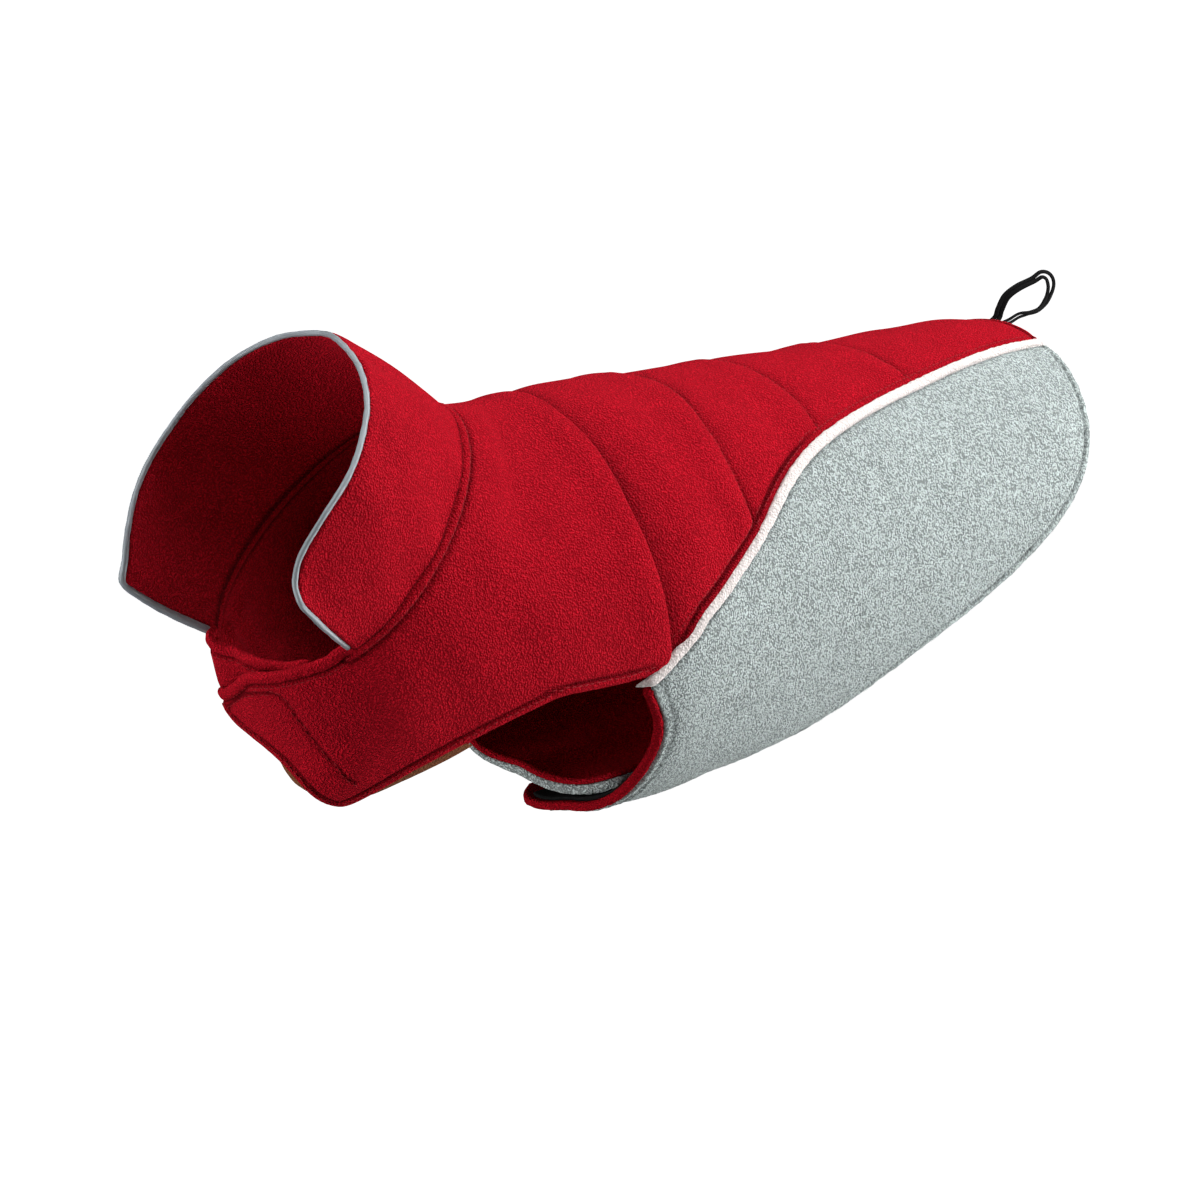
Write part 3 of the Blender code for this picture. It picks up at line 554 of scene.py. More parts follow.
class CoatSizes(bpy.types.PropertyGroup):
    """Sizes of the coat's cloth, trim and stitches."""
    quilted_wall: size_property("Quilted wall", 0.0034, 0.001, 0.01,
        "Thickness of the quilted back: fleece, wadding and fleece")
    yoke_wall: size_property("Yoke wall", 0.003, 0.001, 0.01,
        "Thickness of the yoke and its chest flaps")
    collar_wall: size_property("Collar wall", 0.0032, 0.001, 0.01,
        "Thickness of the standing collar")
    pile_wall: size_property("Pile wall", 0.002, 0.001, 0.006,
        "Thickness of the grey long-pile cloth")
    lining_wall: size_property("Lining wall", 0.0018, 0.001, 0.006,
        "Thickness of the fleece lining of a side panel")
    quilt_dip: size_property("Quilting depth", 0.0028, 0.0, 0.003,
        "How far a quilting line pulls the outer face in")
    quilt_loft: size_property("Quilting loft", 0.0017, 0.0, 0.004,
        "How far a channel swells in front of its quilting line")
    topstitch_dip: size_property("Topstitch depth", 0.0009, 0.0, 0.002,
        "How far a line of topstitching pulls the cloth in")
    hem_width: size_property("Hem width", 0.0046, 0.001, 0.01,
        "From an edge of the fleece to its line of topstitching")
    pile_hem_width: size_property("Pile hem width", 0.0042, 0.001, 0.01,
        "From the hem of the grey cloth to its line of topstitching")
    piping_width: size_property("Side piping width", 0.0054, 0.001, 0.01,
        "Width of the pale piping in the side seams")
    rim_radius: size_property("Rim piping radius", 0.0012, 0.0005, 0.005,
        "Radius of the grey piping on the collar's rim")
    band_width: size_property("Neck band width", 0.0052, 0.001, 0.01,
        "Width of the rolled band on the neck edge")
    stitch_length: size_property("Stitch length", 0.0026, 0.001, 0.01, "Length of one topstitch")
    thread_radius: size_property("Thread radius", 0.00026, 0.0001, 0.001,
        "Radius of the sewing thread")
    cloth_spacing: size_property("Cloth spacing", 0.00178, 0.001, 0.01,
        "Distance between the grid lines of a panel")


def mm(name):
    """Return one of the sizes in millimetres."""
    return getattr(bpy.context.scene.coat_sizes, name) / MM


def colour_property(name, default, description):
    """Return one colour property."""
    return bpy.props.FloatVectorProperty(name=name, subtype="COLOR", size=3, min=0.0, max=1.0,
                                         default=default, description=description)


class CoatColours(bpy.types.PropertyGroup):
    """Colours of the coat's cloth and trim."""
    fleece: colour_property("Fleece", (0.47, 0.0058, 0.0162), "Crimson fleece of back and yoke")
    lining: colour_property("Lining", (0.40, 0.0045, 0.0125), "Crimson fleece of the linings")
    pile: colour_property("Pile", (0.485, 0.55, 0.54), "Pale grey long pile of the side panels")
    piping: colour_property("Side piping", (0.77, 0.70, 0.68), "Off-white cloth of the piping")
    rim: colour_property("Rim piping", (0.27, 0.30, 0.325), "Grey reflective tape of the collar")
    loop: colour_property("Loop patch", (0.17, 0.055, 0.018), "Brown brushed loop")
    hook: colour_property("Hook tape", (0.007, 0.008, 0.008), "Black hook tape")
    elastic: colour_property("Elastic", (0.006, 0.006, 0.0065), "Black ribbed elastic")


# ---- finishes

def add_node(tree, kind, values=(), feeds=(), out=0, **settings):
    """Add a node, set its inputs or feed them from other sockets, and return one output."""
    node = tree.nodes.new("ShaderNode" + kind)
    node.location = (200 * len(tree.nodes) - 2400, 0)
    for name, value in settings.items():
        setattr(node, name, value)
    for socket, value in dict(values).items():
        node.inputs[socket].default_value = value
    for socket, source in dict(feeds).items():
        tree.links.new(source, node.inputs[socket])
    return node.outputs[out]


def nap_group():
    """Build the nap of fleece: small curled clumps with gaps, and slow patches of tone."""
    name = "fleece nap"
    if name in bpy.data.node_groups:
        return bpy.data.node_groups[name]
    group = bpy.data.node_groups.new(name, "ShaderNodeTree")
    new_socket = group.interface.new_socket
    new_socket(name="Place", in_out="INPUT", socket_type="NodeSocketVector")
    for socket, default in (("Curls", 520.0), ("Warp", 0.0012), ("Patches", 30.0), ("Tops", 0.15)):
        new_socket(name=socket, in_out="INPUT", socket_type="NodeSocketFloat"
                   ).default_value = default
    for socket in ("Curl", "Patch", "Height"):
        new_socket(name=socket, in_out="OUTPUT", socket_type="NodeSocketFloat")
    given = group.nodes.new("NodeGroupInput").outputs
    result = group.nodes.new("NodeGroupOutput").inputs
    place = {"Vector": given["Place"]}
    warp = add_node(group, "TexNoise", {"Scale": 430.0, "Detail": 1.0}, place, "Color")
    centre = add_node(group, "VectorMath", {1: (0.5, 0.5, 0.5)}, {0: warp}, operation="SUBTRACT")
    scaled = add_node(group, "VectorMath", (), {0: centre, "Scale": given["Warp"]},
                      operation="SCALE")
    moved = add_node(group, "VectorMath", (), {0: given["Place"], 1: scaled}, operation="ADD")
    curls = add_node(group, "TexVoronoi", {"Smoothness": 0.35},
                     {"Vector": moved, "Scale": given["Curls"]}, "Distance", feature="SMOOTH_F1")
    tops = add_node(group, "MapRange", {"From Max": 0.72, "To Min": 1.0, "To Max": 0.0},
                    {"From Min": given["Tops"], "Value": curls}, interpolation_type="SMOOTHSTEP")
    fibre = add_node(group, "TexNoise", {"Scale": 1900.0, "Detail": 2.0, "Roughness": 0.6}, place)
    fine = add_node(group, "Math", {1: 0.45}, {0: fibre}, operation="MULTIPLY")
    height = add_node(group, "Math", (), {0: tops, 1: fine}, operation="ADD")
    slow = add_node(group, "TexNoise", {"Detail": 3.0, "Roughness": 0.6},
                    {**place, "Scale": given["Patches"]})
    patch = add_node(group, "MapRange", {"From Min": 0.32, "From Max": 0.68}, {"Value": slow})
    for socket, source in (("Curl", tops), ("Patch", patch), ("Height", height)):
        group.links.new(source, result[socket])
    return group


def start_finish(name, roughness, specular, sheen=0.0, tint=(1.0, 1.0, 1.0), metallic=0.0):
    """Start a material whose constant values sit on the shader's own sockets."""
    material = bpy.data.materials.new(name)
    material.use_nodes = True
    shader = material.node_tree.nodes["Principled BSDF"].inputs
    for socket, value in (("Roughness", roughness), ("Specular IOR Level", specular),
                          ("Sheen Weight", sheen), ("Sheen Tint", (*tint, 1.0)),
                          ("Sheen Roughness", 0.5), ("Metallic", metallic)):
        shader[socket].default_value = value
    return material, material.node_tree, shader


def shade(colour, share):
    """Return a colour made lighter or darker, with its alpha."""
    return (*[min(value * share, 1.0) for value in colour], 1.0)


def colour_and_bump(tree, shader, colour, height, strength, distance):
    """Feed a colour and, through a bump, a height into a shader."""
    bump = add_node(tree, "Bump", {"Strength": strength, "Distance": distance}, {"Height": height})
    tree.links.new(colour, shader["Base Color"])
    tree.links.new(bump, shader["Normal"])


def fleece_finish(name, colour, curls, warp, patches, tops, deep, light, mottle, relief, sheen,
                  tint):
    """Make a napped cloth: painted highlight on its curls' tops and painted shade between them,
    slow patches of tone, and painted shade in its sewn lines.
    """
    material, tree, shader = start_finish(name, 1.0, 0.02, sheen, tint)
    nap = add_node(tree, "Group", {"Curls": curls, "Warp": warp, "Patches": patches, "Tops": tops},
                   {"Place": add_node(tree, "TexCoord", out="Object")},
                   node_tree=nap_group()).node.outputs
    # painted highlight on the curls' tops and painted shade in the gaps between them
    tone = add_node(tree, "Mix", {"A": shade(colour, deep), "B": shade(colour, light)},
                    {"Factor": nap["Curl"]}, "Result", data_type="RGBA")
    slow = add_node(tree, "MapRange", {"To Min": 1.0 - mottle, "To Max": 1.0 + mottle},
                    {"Value": nap["Patch"]})
    # painted shade: an attribute of the piece darkens the colour in its sewn lines and creases
    sewn = add_node(tree, "Attribute", out="Fac", attribute_name=PAINTED_SHADE_ATTRIBUTE)
    painted_shade_share = add_node(tree, "MapRange", {"To Min": 1.0, "To Max": CREASE_SHADE}, {"Value": sewn})
    both = add_node(tree, "Math", (), {0: slow, 1: painted_shade_share}, operation="MULTIPLY")
    mixed = add_node(tree, "VectorMath", (), {0: tone, "Scale": both}, operation="SCALE")
    colour_and_bump(tree, shader, mixed, nap["Height"], 0.9, relief)
    return material


def trim_finish(name, colour, pattern, roughness, strength, distance, contrast, sheen, metallic,
                specular):
    """Make a narrow trim's finish, whose weave or ribs follow its UV map."""
    material, tree, shader = start_finish(name, roughness, specular, sheen, colour, metallic)
    kind, scale, turn = pattern
    place = add_node(tree, "TexCoord").node.outputs
    mapped = {"Vector": add_node(tree, "Mapping", {"Scale": scale, "Rotation": (0.0, 0.0, turn)},
                                 {"Vector": place["Object" if kind == "loops" else "UV"]})}
    if kind == "ribs":
        value = add_node(tree, "TexWave", {"Scale": 1.0, "Distortion": 0.6}, mapped, "Fac")
    elif kind == "weave":
        value = add_node(tree, "TexBrick", {"Scale": 1.0, "Mortar Size": 0.09,
                                            "Mortar Smooth": 0.6, "Color1": (1, 1, 1, 1),
                                            "Color2": (0.75, 0.75, 0.75, 1),
                                            "Mortar": (0, 0, 0, 1)}, mapped, "Color")
    else:
        value = add_node(tree, "TexVoronoi", {"Scale": 1.0}, mapped, "Distance")
    grain = add_node(tree, "TexNoise", {"Scale": 900.0, "Detail": 2.0},
                     {"Vector": place["Object"]})
    blend = add_node(tree, "Mix", {"Factor": 0.35}, {"A": value, "B": grain}, "Result",
                     data_type="FLOAT")
    tone = add_node(tree, "Mix", {"A": shade(colour, 1 - contrast),
                                  "B": shade(colour, 1 + contrast)}, {"Factor": blend}, "Result",
                    data_type="RGBA")
    colour_and_bump(tree, shader, tone, blend, strength, distance)
    return material


PINK = (1.0, 0.12, 0.18)
# Napped cloth. Columns: name, colour, curls, warp, patches, width of the curls' tops, share of the
# colour in the painted shade between curls and in the painted highlight on their tops, mottling,
# relief, sheen and its tint.
NAPPED = {
    "red_fleece": ("crimson fleece", "fleece", 1050.0, 0.0011, 70.0, 0.15, 0.58, 1.20, 0.05,
                   0.0009, 0.05, PINK),
    "red_lining": ("crimson lining fleece", "lining", 1000.0, 0.0011, 70.0, 0.15, 0.58, 1.20,
                   0.05, 0.0009, 0.03, PINK),
    "grey_pile": ("grey long pile", "pile", 960.0, 0.0021, 260.0, 0.36, 0.50, 1.06, 0.13, 0.0011,
                  0.10, (1.0, 1.0, 1.0)),
    "white_piping": ("off-white napped piping", "piping", 900.0, 0.0008, 160.0, 0.15, 0.86, 1.04,
                     0.03, 0.0005, 0.3, (1.0, 0.97, 0.95)),
}
# Trims. Columns: name, colour, pattern with its scale and turn, roughness, strength and depth of
# the relief, contrast, sheen, metallic and specular.
TRIMS = {
    "reflective_piping": ("grey reflective tape", "rim", ("weave", (2600.0, 2600.0, 1.0), 0.6),
                          0.42, 0.25, 0.0002, 0.12, 0.0, 0.25, 0.6),
    "loop_patch": ("brown brushed loop", "loop", ("loops", (1400.0, 1400.0, 1400.0), 0.0),
                   0.95, 0.8, 0.0008, 0.45, 0.3, 0.0, 0.3),
    "hook_tape": ("black hook tape", "hook", ("loops", (1300.0, 1300.0, 1300.0), 0.0),
                  0.8, 0.7, 0.0006, 0.5, 0.0, 0.0, 0.08),
    "elastic": ("black ribbed elastic", "elastic", ("ribs", (0.0, 1700.0, 0.0), 0.0),
                0.7, 0.6, 0.0004, 0.5, 0.0, 0.0, 0.07),
}


def finish_of(slot):
    """Return the finish of one kind of cloth or trim."""
    name, colour, *values = NAPPED.get(slot) or TRIMS[slot]
    if name in bpy.data.materials:
        return bpy.data.materials[name]
    make = fleece_finish if slot in NAPPED else trim_finish
    return make(name, getattr(bpy.context.scene.coat_colours, colour), *values)


def thread_finish(name, colour):
    """Return the finish of a sewing thread, darker than its cloth."""
    if name in bpy.data.materials:
        return bpy.data.materials[name]
    material, _, shader = start_finish(name, 0.7, 0.2)
    shader["Base Color"].default_value = shade(colour, 0.6)
    return material


# ---- panels

def panel_depths(grid_points, wall, relief, inner_relief=0.0):
    """Return how far a sheet's two faces stand off its middle, rounded off along its border."""
    distance = apart(grid_points, border_of(grid_points))
    edge, lift = wall / 2 * rounded(distance, wall * 0.55), ease(distance, 0.0, 0.9)
    return edge + relief * lift, edge + inner_relief * lift


def lay_panel(name, station, angle, top, wall, relief, slot, replaced, inner_relief=0.0,
              crease=None, inner_painted_shade=None):
    """Lay a sheet on the form, its outer face at a depth and its relief standing off that."""
    normal = form_normal(station, angle)
    middle = form_point(station, angle) - normal * (np.asarray(top) + wall / 2)[..., None]
    outer, inner = panel_depths(middle, wall, relief, inner_relief)
    return make_shell(name, middle, normal, outer, inner, slot, (replaced,), crease, inner_painted_shade)


def quilt_rows(spacing):
    """Return the rows of the quilted back, closer together at its lines and its hem."""
    near = np.array((0.0, 0.2, 0.6, 1.2, 2.0, 3.0, 4.2, 5.6, 7.2, 9.0))
    end = SIDE_SEAM[-1][0]
    rows = [QUILT_ROWS[0] + near]
    for line in QUILT_ROWS[1:]:
        rows += [line - near[:0:-1] * 0.9, line + near]
    rows += [end - np.array(EDGE_STEPS)[::-1]]
    rows = np.unique(np.round(np.concatenate(rows), 3))
    filled = [rows[:1]]
    for first, second in zip(rows, rows[1:]):
        steps = max(int(round((second - first) / spacing)), 1)
        filled.append(first + (second - first) * np.arange(1, steps + 1) / steps)
    return np.concatenate(filled)


def back_grid(spacing):
    """Return the stations, angles and nominal rows of the quilted back's grid."""
    rows = quilt_rows(spacing)
    edge = shift_line(side_seam(rows), mm("piping_width") / 2 - 0.3)
    half = np.array([run_lengths(form_point(row, np.linspace(0, angle, 12)))[-1]
                     for row, angle in zip(rows, edge[:, 1])])
    across = 2 * lay_steps(2 * half, spacing) - 1
    angle = edge[:, 1:] * across
    nominal = np.repeat(rows[:, None], across.shape[1], axis=1)
    shift = (edge[:, :1] - rows[:, None]) * (1 - ease(rows, 366.0, 386.0))[:, None]
    return quilt_station(nominal, angle) + shift * across ** 4, angle, nominal


def side_share(rows):
    """Say how wide the strip beside the side piping is: it narrows towards the tail."""
    return 1 - 0.3 * ease(rows, 120.0, 180.0)


def make_back_panel():
    """Make the quilted back, from the first quilting line to the tail hem."""
    station, angle, rows = back_grid(mm("cloth_spacing"))
    points = form_point(station, angle)
    hem, dip = mm("hem_width"), mm("topstitch_dip")
    side_hem = hem * side_share(rows)
    side = np.minimum(apart(points, points[:, 0]), apart(points, points[:, -1]))
    tail = apart(points, points[-1])
    strip = np.minimum(side, tail)
    relief = quilt_relief(rows) * ease(strip, hem - 0.6, hem + 3.0) * quilt_share(angle)
    relief += sway(points, 46.0, 0.35, 11) * ease(strip, hem, hem + 8)
    sewn = 0.25 + 1.05 * (1 - ease(rows, 150.0, 200.0))
    relief -= dip * sewn * dent(side - side_hem, 1.1) + dip * dent(tail - hem + TAIL_STITCH, 1.0)
    relief += 0.35 * ease(strip, 0.8, 2.0) * (1 - ease(strip, hem - 1.6, hem - 0.4))
    pucker = sway(points, 8.0, 0.16, 12) * dent(side - side_hem - 1.5, 4.0)
    for line in QUILT_ROWS[1:]:
        pucker += sway(points, 9.0, 0.18, 13) * dent(rows - line, 5.0)
    # painted shade in and behind each quilting line, along the stitching, and in the strip beside
    # the piping; it also shades the inner face
    lines = sum(quilt_painted_shade(rows - line) for line in QUILT_ROWS)
    lines *= ease(strip, hem - 0.6, hem + 0.6)
    crease = (lines + sewn * dent(side - side_hem, 0.9) + dent(tail - hem + TAIL_STITCH, 0.8)
              + 0.3 * sewn * (1 - ease(side, hem - 0.8, hem)))
    lay_panel("back_panel_quilted", station, angle, 0.0, mm("quilted_wall"), relief + pucker,
              "red_fleece", "back_panel", -0.5 * dip * lines, crease, lines)


def flap_table(side):
    """Return one half of the yoke by angle, with its front and rear stations."""
    flap = LEFT_FLAP if side == "left" else RIGHT_FLAP
    shoulder = [(angle, 0.0, float(read_table(QUILT_CURVES[0], angle)[0]) + SEAM_LAP)
                for angle in (0.0, 12.0, 24.0, 36.0, 48.0, 60.0, 72.0, 84.0, 93.0, 101.5)]
    return np.array([*shoulder, (104.6, 0.0, 60.5), *flap])


def yoke_edges(angle):
    """Return the yoke's front and rear stations at some angles, on both sides."""
    sides = []
    for side, sign in SIDES.items():
        table = flap_table(side)
        keys = np.linspace(table[0, 0], table[-1, 0], 900)
        sides.append([np.interp(angle * sign, keys, column)
                      for column in read_table(table, keys).T])
    return np.where(angle >= 0, *sides)


def make_yoke():
    """Make the plain shoulder yoke, with the two chest flaps that close under the neck."""
    spacing = mm("cloth_spacing") * 0.9
    turns = np.linspace(-RIGHT_FLAP[-1][0], LEFT_FLAP[-1][0], 900)
    angles = step_along(form_point(20.0, turns), turns, spacing)
    front, rear = yoke_edges(angles)
    lengths = np.array([run_lengths(form_point(np.linspace(a, b, 8), c))[-1]
                        for a, b, c in zip(front, rear, angles)])
    station, angle = column_grid(angles, front, rear, lengths, spacing)
    points = form_point(station, angle)
    hem, dip = mm("hem_width"), mm("topstitch_dip")
    neck = apart(points, form_point(0.0, np.linspace(-FLAP_START, FLAP_START, 300)))
    hems, band = np.full(neck.shape, FAR), np.full(neck.shape, FAR)
    for side, sign in SIDES.items():
        half = angles * sign > 0
        outer = points[angles * sign > SHOULDER_END, -1]
        hems[half] = np.minimum(apart(points[half], outer),
                                apart(points[half], points[-1 if sign > 0 else 0])
                                / END_HEM[side])
        band[half] = apart(points[half], points[angles * sign > FLAP_START, 0])
    quilt = apart(points, points[np.abs(angles) <= SHOULDER_END, -1])
    relief = -mm("quilt_dip") * (1 - rounded(quilt, 3.6)) * ease(hems, 2.0, 7.0)
    relief += mm("quilt_loft") * dent(quilt - 8.0, 10.0) * ease(hems, 2.0, 12.0)
    relief *= quilt_share(angle)
    relief += sway(points, 52.0, 0.45, 21) * ease(np.minimum(hems, neck), hem, hem + 9)
    relief -= dip * 1.2 * dent(neck - NECK_STITCH, 1.1) * ease(neck, 0.5, 2.5)
    relief += 0.75 * (1 - ease(neck, 3.4, 4.8)) * ease(neck, 0.6, 2.0)
    relief -= dip * dent(hems - hem, 1.0) * ease(band, 1.0, 3.0)
    relief += 0.4 * ease(hems, 0.8, 2.0) * (1 - ease(hems, hem - 1.5, hem - 0.4))
    relief -= dip * dent(band - 1.0, 0.9)
    tape = apart(points, on_form(*smooth_line(TAPE_STITCHING, 0.4).T))
    tape = np.where(angle > 120, tape, FAR)
    relief -= dip * dent(tape, 1.0)
    # painted shade along the neck, tape and hem stitching, the quilting line and the neck band's
    # edge
    crease = (dent(neck - NECK_STITCH, 0.9) * ease(neck, 0.5, 2.5) + dent(tape, 0.8)
              + dent(hems - hem, 0.9) * ease(band, 1.0, 3.0) + dent(quilt, 0.9)
              + dent(band - 0.6, 0.9) * ease(hems, 1.0, 3.0))
    relief += sway(points, 8.5, 0.13, 22) * (dent(hems - hem, 4.0) + dent(neck - NECK_STITCH, 4.0))
    inner = inside_folds(station, angle) + 0.8 * dent(neck - 3.2, 1.8) - 0.5 * dent(neck - 6.4, 1.0)
    # the inner face gets painted shade near the neck seam and its stitching
    lay_panel("yoke_with_flaps", station, angle, yoke_depth(station, angle), mm("yoke_wall"),
              relief, "red_fleece", "yoke", inner, crease, dent(neck - 6.4, 1.0) + dent(neck, 1.2))


def inside_folds(station, angle):
    """Return the soft folds on the inner face of the yoke, low in the neck."""
    height = np.zeros(station.shape)
    for centre, width, depth, start, end in INSIDE_FOLDS:
        lean = centre + (station - start) * 0.28
        fade = ease(station, start, start + 6) * (1 - ease(station, end - 10, end))
        height += 1.7 * depth * dent(angle - lean, width) * fade
    return height


def collar_grid(spacing):
    """Return the outer points of the collar from seam to rim, their normals and angles."""
    turns = np.linspace(-COLLAR_END, COLLAR_END, 700)
    angles = step_along(form_point(0.0, turns), turns, spacing)
    rim = read_table(COLLAR_RIM, np.abs(angles))
    rim[:, 0] *= np.sign(angles)
    reach = np.linalg.norm(form_point(0.5, angles) - form_point(-0.5, angles), axis=1)
    seam = on_form(COLLAR_LAP / reach, angles, COLLAR_DEPTH)
    rim = rim - unit(rim - seam) * (2 * mm("rim_radius"))
    height = lay_steps(np.linalg.norm(rim - seam, axis=1), spacing).T
    bow = form_normal(np.zeros(len(angles)), angles)
    points = seam + (rim - seam) * height[..., None]
    points = points + bow * (2.5 * np.sin(math.pi * height))[..., None]
    up = np.gradient(points, axis=0) / np.maximum(np.gradient(height, axis=0), 1e-6)[..., None]
    around = np.gradient(points, axis=1) / np.maximum(np.gradient(angles), 1e-6)[None, :, None]
    normal = unit(np.cross(up, around))
    return points, normal * np.sign((normal * bow).sum()), angles, height


def make_collar():
    """Make the standing collar, open in front."""
    points, normal, angles, height = collar_grid(mm("cloth_spacing"))
    wall = mm("collar_wall")
    middle = points - normal * (wall / 2)
    seam, rim = apart(middle, middle[0]), apart(middle, middle[-1])
    relief = 0.5 * dent(seam - 2.0, 3.0) + sway(middle, 38.0, 0.5, 31) * ease(rim, 0.0, 8.0)
    for centre, lean, width, depth in COLLAR_FOLDS:
        relief += (depth * dent(angles - centre - lean * (1 - height), width)
                   * ease(height, 0.25, 0.9))
    inner = sway(middle, 44.0, 0.8, 32) * ease(rim, 0.0, 10.0)
    outer, back = panel_depths(middle, wall, relief, inner)
    # painted shade on both faces low on the collar, where it meets the yoke
    make_shell("collar_cloth", middle, normal, outer, back, "red_fleece", ("collar",),
               1 - ease(seam, 2.2, 3.8), 1 - ease(seam, 1.5, 4.0))


def make_rim_piping():
    """Make the grey piping along the collar's rim and both of its front edges."""
    points, normal, _, _ = collar_grid(2.0)
    middle = points - normal * (mm("collar_wall") / 2)
    radius = mm("rim_radius")
    right, left, top = (near + unit(near - inside) * (radius * 0.8) for near, inside in (
        (middle[:, 0], middle[:, 3]), (middle[:, -1], middle[:, -4]), (middle[-1], middle[-4])))
    route = even_line(np.concatenate([right[4:-4], top[2:-2], left[-5:3:-1]]), 0.4)
    kernel = np.hanning(9) / np.hanning(9).sum()
    route = even_line(np.column_stack([
        np.convolve(np.pad(column, 4, mode="edge"), kernel, mode="valid")
        for column in route.T]), 0.7)
    ahead = tangents(route)
    outward = unit(np.cross(ahead, np.roll(ahead, 1, axis=0) + np.array((0.3, 0.2, 1.0))))
    half = radius * (1 + 0.45 * (1 - ease(np.arange(len(route)), 40, 110)))
    make_roll("collar_rim_piping", route, np.cross(ahead, outward), outward, half, half,
              "reflective_piping", ("collar_piping",), around=16, unevenness=0.07, seed=41)


def side_grid(side, spacing, reach=0.0, inset=0.0):
    """Return the grid of a side panel or its lining, from front edge to rear edge."""
    stations = np.linspace(SIDE_SEAM[0][0], SIDE_SEAM[-1][0], 160)
    seam = shift_line(side_seam(stations), 0.2 - mm("piping_width") / 2)[::-1]
    leg, hem = smooth_line(LEG_EDGE, 1.0), smooth_line(PANEL_HEM, 1.0)
    if reach:
        leg = shift_line(leg, -reach)
    front = np.concatenate([seam, leg[1:]])
    if inset:
        hem = shift_line(hem, -inset)
        front[0] += (front[1] - front[0]) * 0.5
    share = lay_steps(run_lengths(form_point(*front.T))[-1:], spacing)[0]
    front, hem = (np.column_stack([np.interp(share, np.linspace(0, 1, 1200), column)
                                   for column in count_line(line, 1200).T])
                  for line in (front, hem))
    span = np.linalg.norm(form_point(*front.T) - form_point(*hem.T), axis=1) * 1.1 + 0.5
    grid = front[:, None, :] + (hem - front)[:, None, :] * lay_steps(span, spacing)[..., None]
    return grid[..., 0], grid[..., 1] * SIDES[side]


def edge_lines(side):
    """Return the places along a side panel's hem, with its flap's end, and its leg edge."""
    hem, leg = smooth_line(PANEL_HEM, 0.5), smooth_line(LEG_EDGE, 0.5)
    hem = np.concatenate([hem, np.linspace(hem[-1], leg[-1], 120)])
    return [form_point(*(line * (1, SIDES[side])).T) for line in (hem, leg)]


def make_side_panel(side):
    """Make the grey long-pile panel of one side, which ends in a belly flap."""
    station, angle = side_grid(side, mm("cloth_spacing") * 1.1)
    points = form_point(station, angle)
    hem, leg = (apart(points, line) for line in edge_lines(side))
    seam = side_seam(np.linspace(62, 386, 300)) * (1, SIDES[side])
    seam = apart(points, form_point(*seam.T))
    dip, width = mm("topstitch_dip"), mm("pile_hem_width")
    relief = 0.5 + sway(points, 40.0, 0.4, 51) * ease(np.minimum(hem, leg), 4.0, 14.0)
    relief += LEG_ROLL[side] * dent(leg - 1.6, 2.0) * ease(-angle, 140, 158)
    relief -= dip * dent(hem - width, 1.1) + dip * dent(leg - LEG_STITCH, 1.1)
    relief += sway(points, 9.0, 0.16, 52) * (dent(hem - width, 4.5) + dent(leg - LEG_STITCH, 4.5))
    relief -= 0.6 * dent(seam - 3.2, 1.8)
    relief += sway(points, 5.5, 0.12, 53)
    # painted shade along the stitching and beside the piping, made uneven
    crease = dent(hem - width, 0.8) + dent(leg - LEG_STITCH, 0.9) + 0.8 * dent(seam - 3.0, 1.2)
    crease *= 0.62 + sway(points, 9.0, 0.22, 54)
    lay_panel(f"side_panel_{side}_pile", station, angle, belly_depth(angle), mm("pile_wall"),
              relief, "grey_pile", f"side_panel_{side}", 0.0, crease)


def make_side_lining(side):
    """Make the red lining of a side panel, rolled out round the leg opening."""
    reach = LINING_REACH[side]
    station, angle = side_grid(side, mm("cloth_spacing") * 1.5, reach, inset=0.9)
    points = form_point(station, angle)
    leg, rolled = apart(points, edge_lines(side)[1]), apart(points, points[:, 0])
    beyond = (1 - ease(rolled, reach - 0.5, reach + 0.3)) * ease(np.abs(angle), 107.0, 109.0)
    under = mm("pile_wall") + 0.25
    relief = beyond * under * rounded(rolled, 2.6) + sway(points, 6.0, 0.16, 61) * beyond
    inner = sway(points, 42.0, 0.7, 62) * ease(leg, 3.0, 12.0)
    inner += LINING_ROLL[side] * dent(rolled - 2.0, 1.8) - 0.35 * dent(leg - LEG_STITCH, 1.2)
    lay_panel(f"side_lining_{side}_cloth", station, angle, belly_depth(angle) + under,
              mm("lining_wall"), relief, "red_lining", f"side_lining_{side}", inner)


def roll_on_form(name, line, depth, half_width, half_height, slot, replaced, **more):
    """Lay a soft roll along a line of stations and angles."""
    centres = on_form(line[:, 0], line[:, 1], depth)
    outward = form_normal(line[:, 0], line[:, 1])
    across = unit(np.cross(outward, tangents(centres)))
    make_roll(name, centres, across, outward, half_width, half_height, slot, (replaced,), **more)


def make_side_piping(side):
    """Make the pale piping in the seam between the back and one side panel."""
    seam = side_seam(np.linspace(SIDE_SEAM[0][0], SIDE_SEAM[-1][0] + 0.3, 500))
    start = np.linspace((60.9, 107.9), (61.9, 106.1), 12)
    line = even_line(np.concatenate([start, seam]), 0.6) * (1, SIDES[side])
    number = np.arange(len(line))
    full = 0.16 + 0.84 * ease(number, -2, 13)
    roll_on_form(f"side_piping_{side}_roll", line, 0.7 + 3.4 * (1 - ease(number, 0, 11)),
                 mm("piping_width") / 2 * full, 2.2 * full, "white_piping",
                 f"side_piping_{side}", around=16, unevenness=0.14, seed=71)


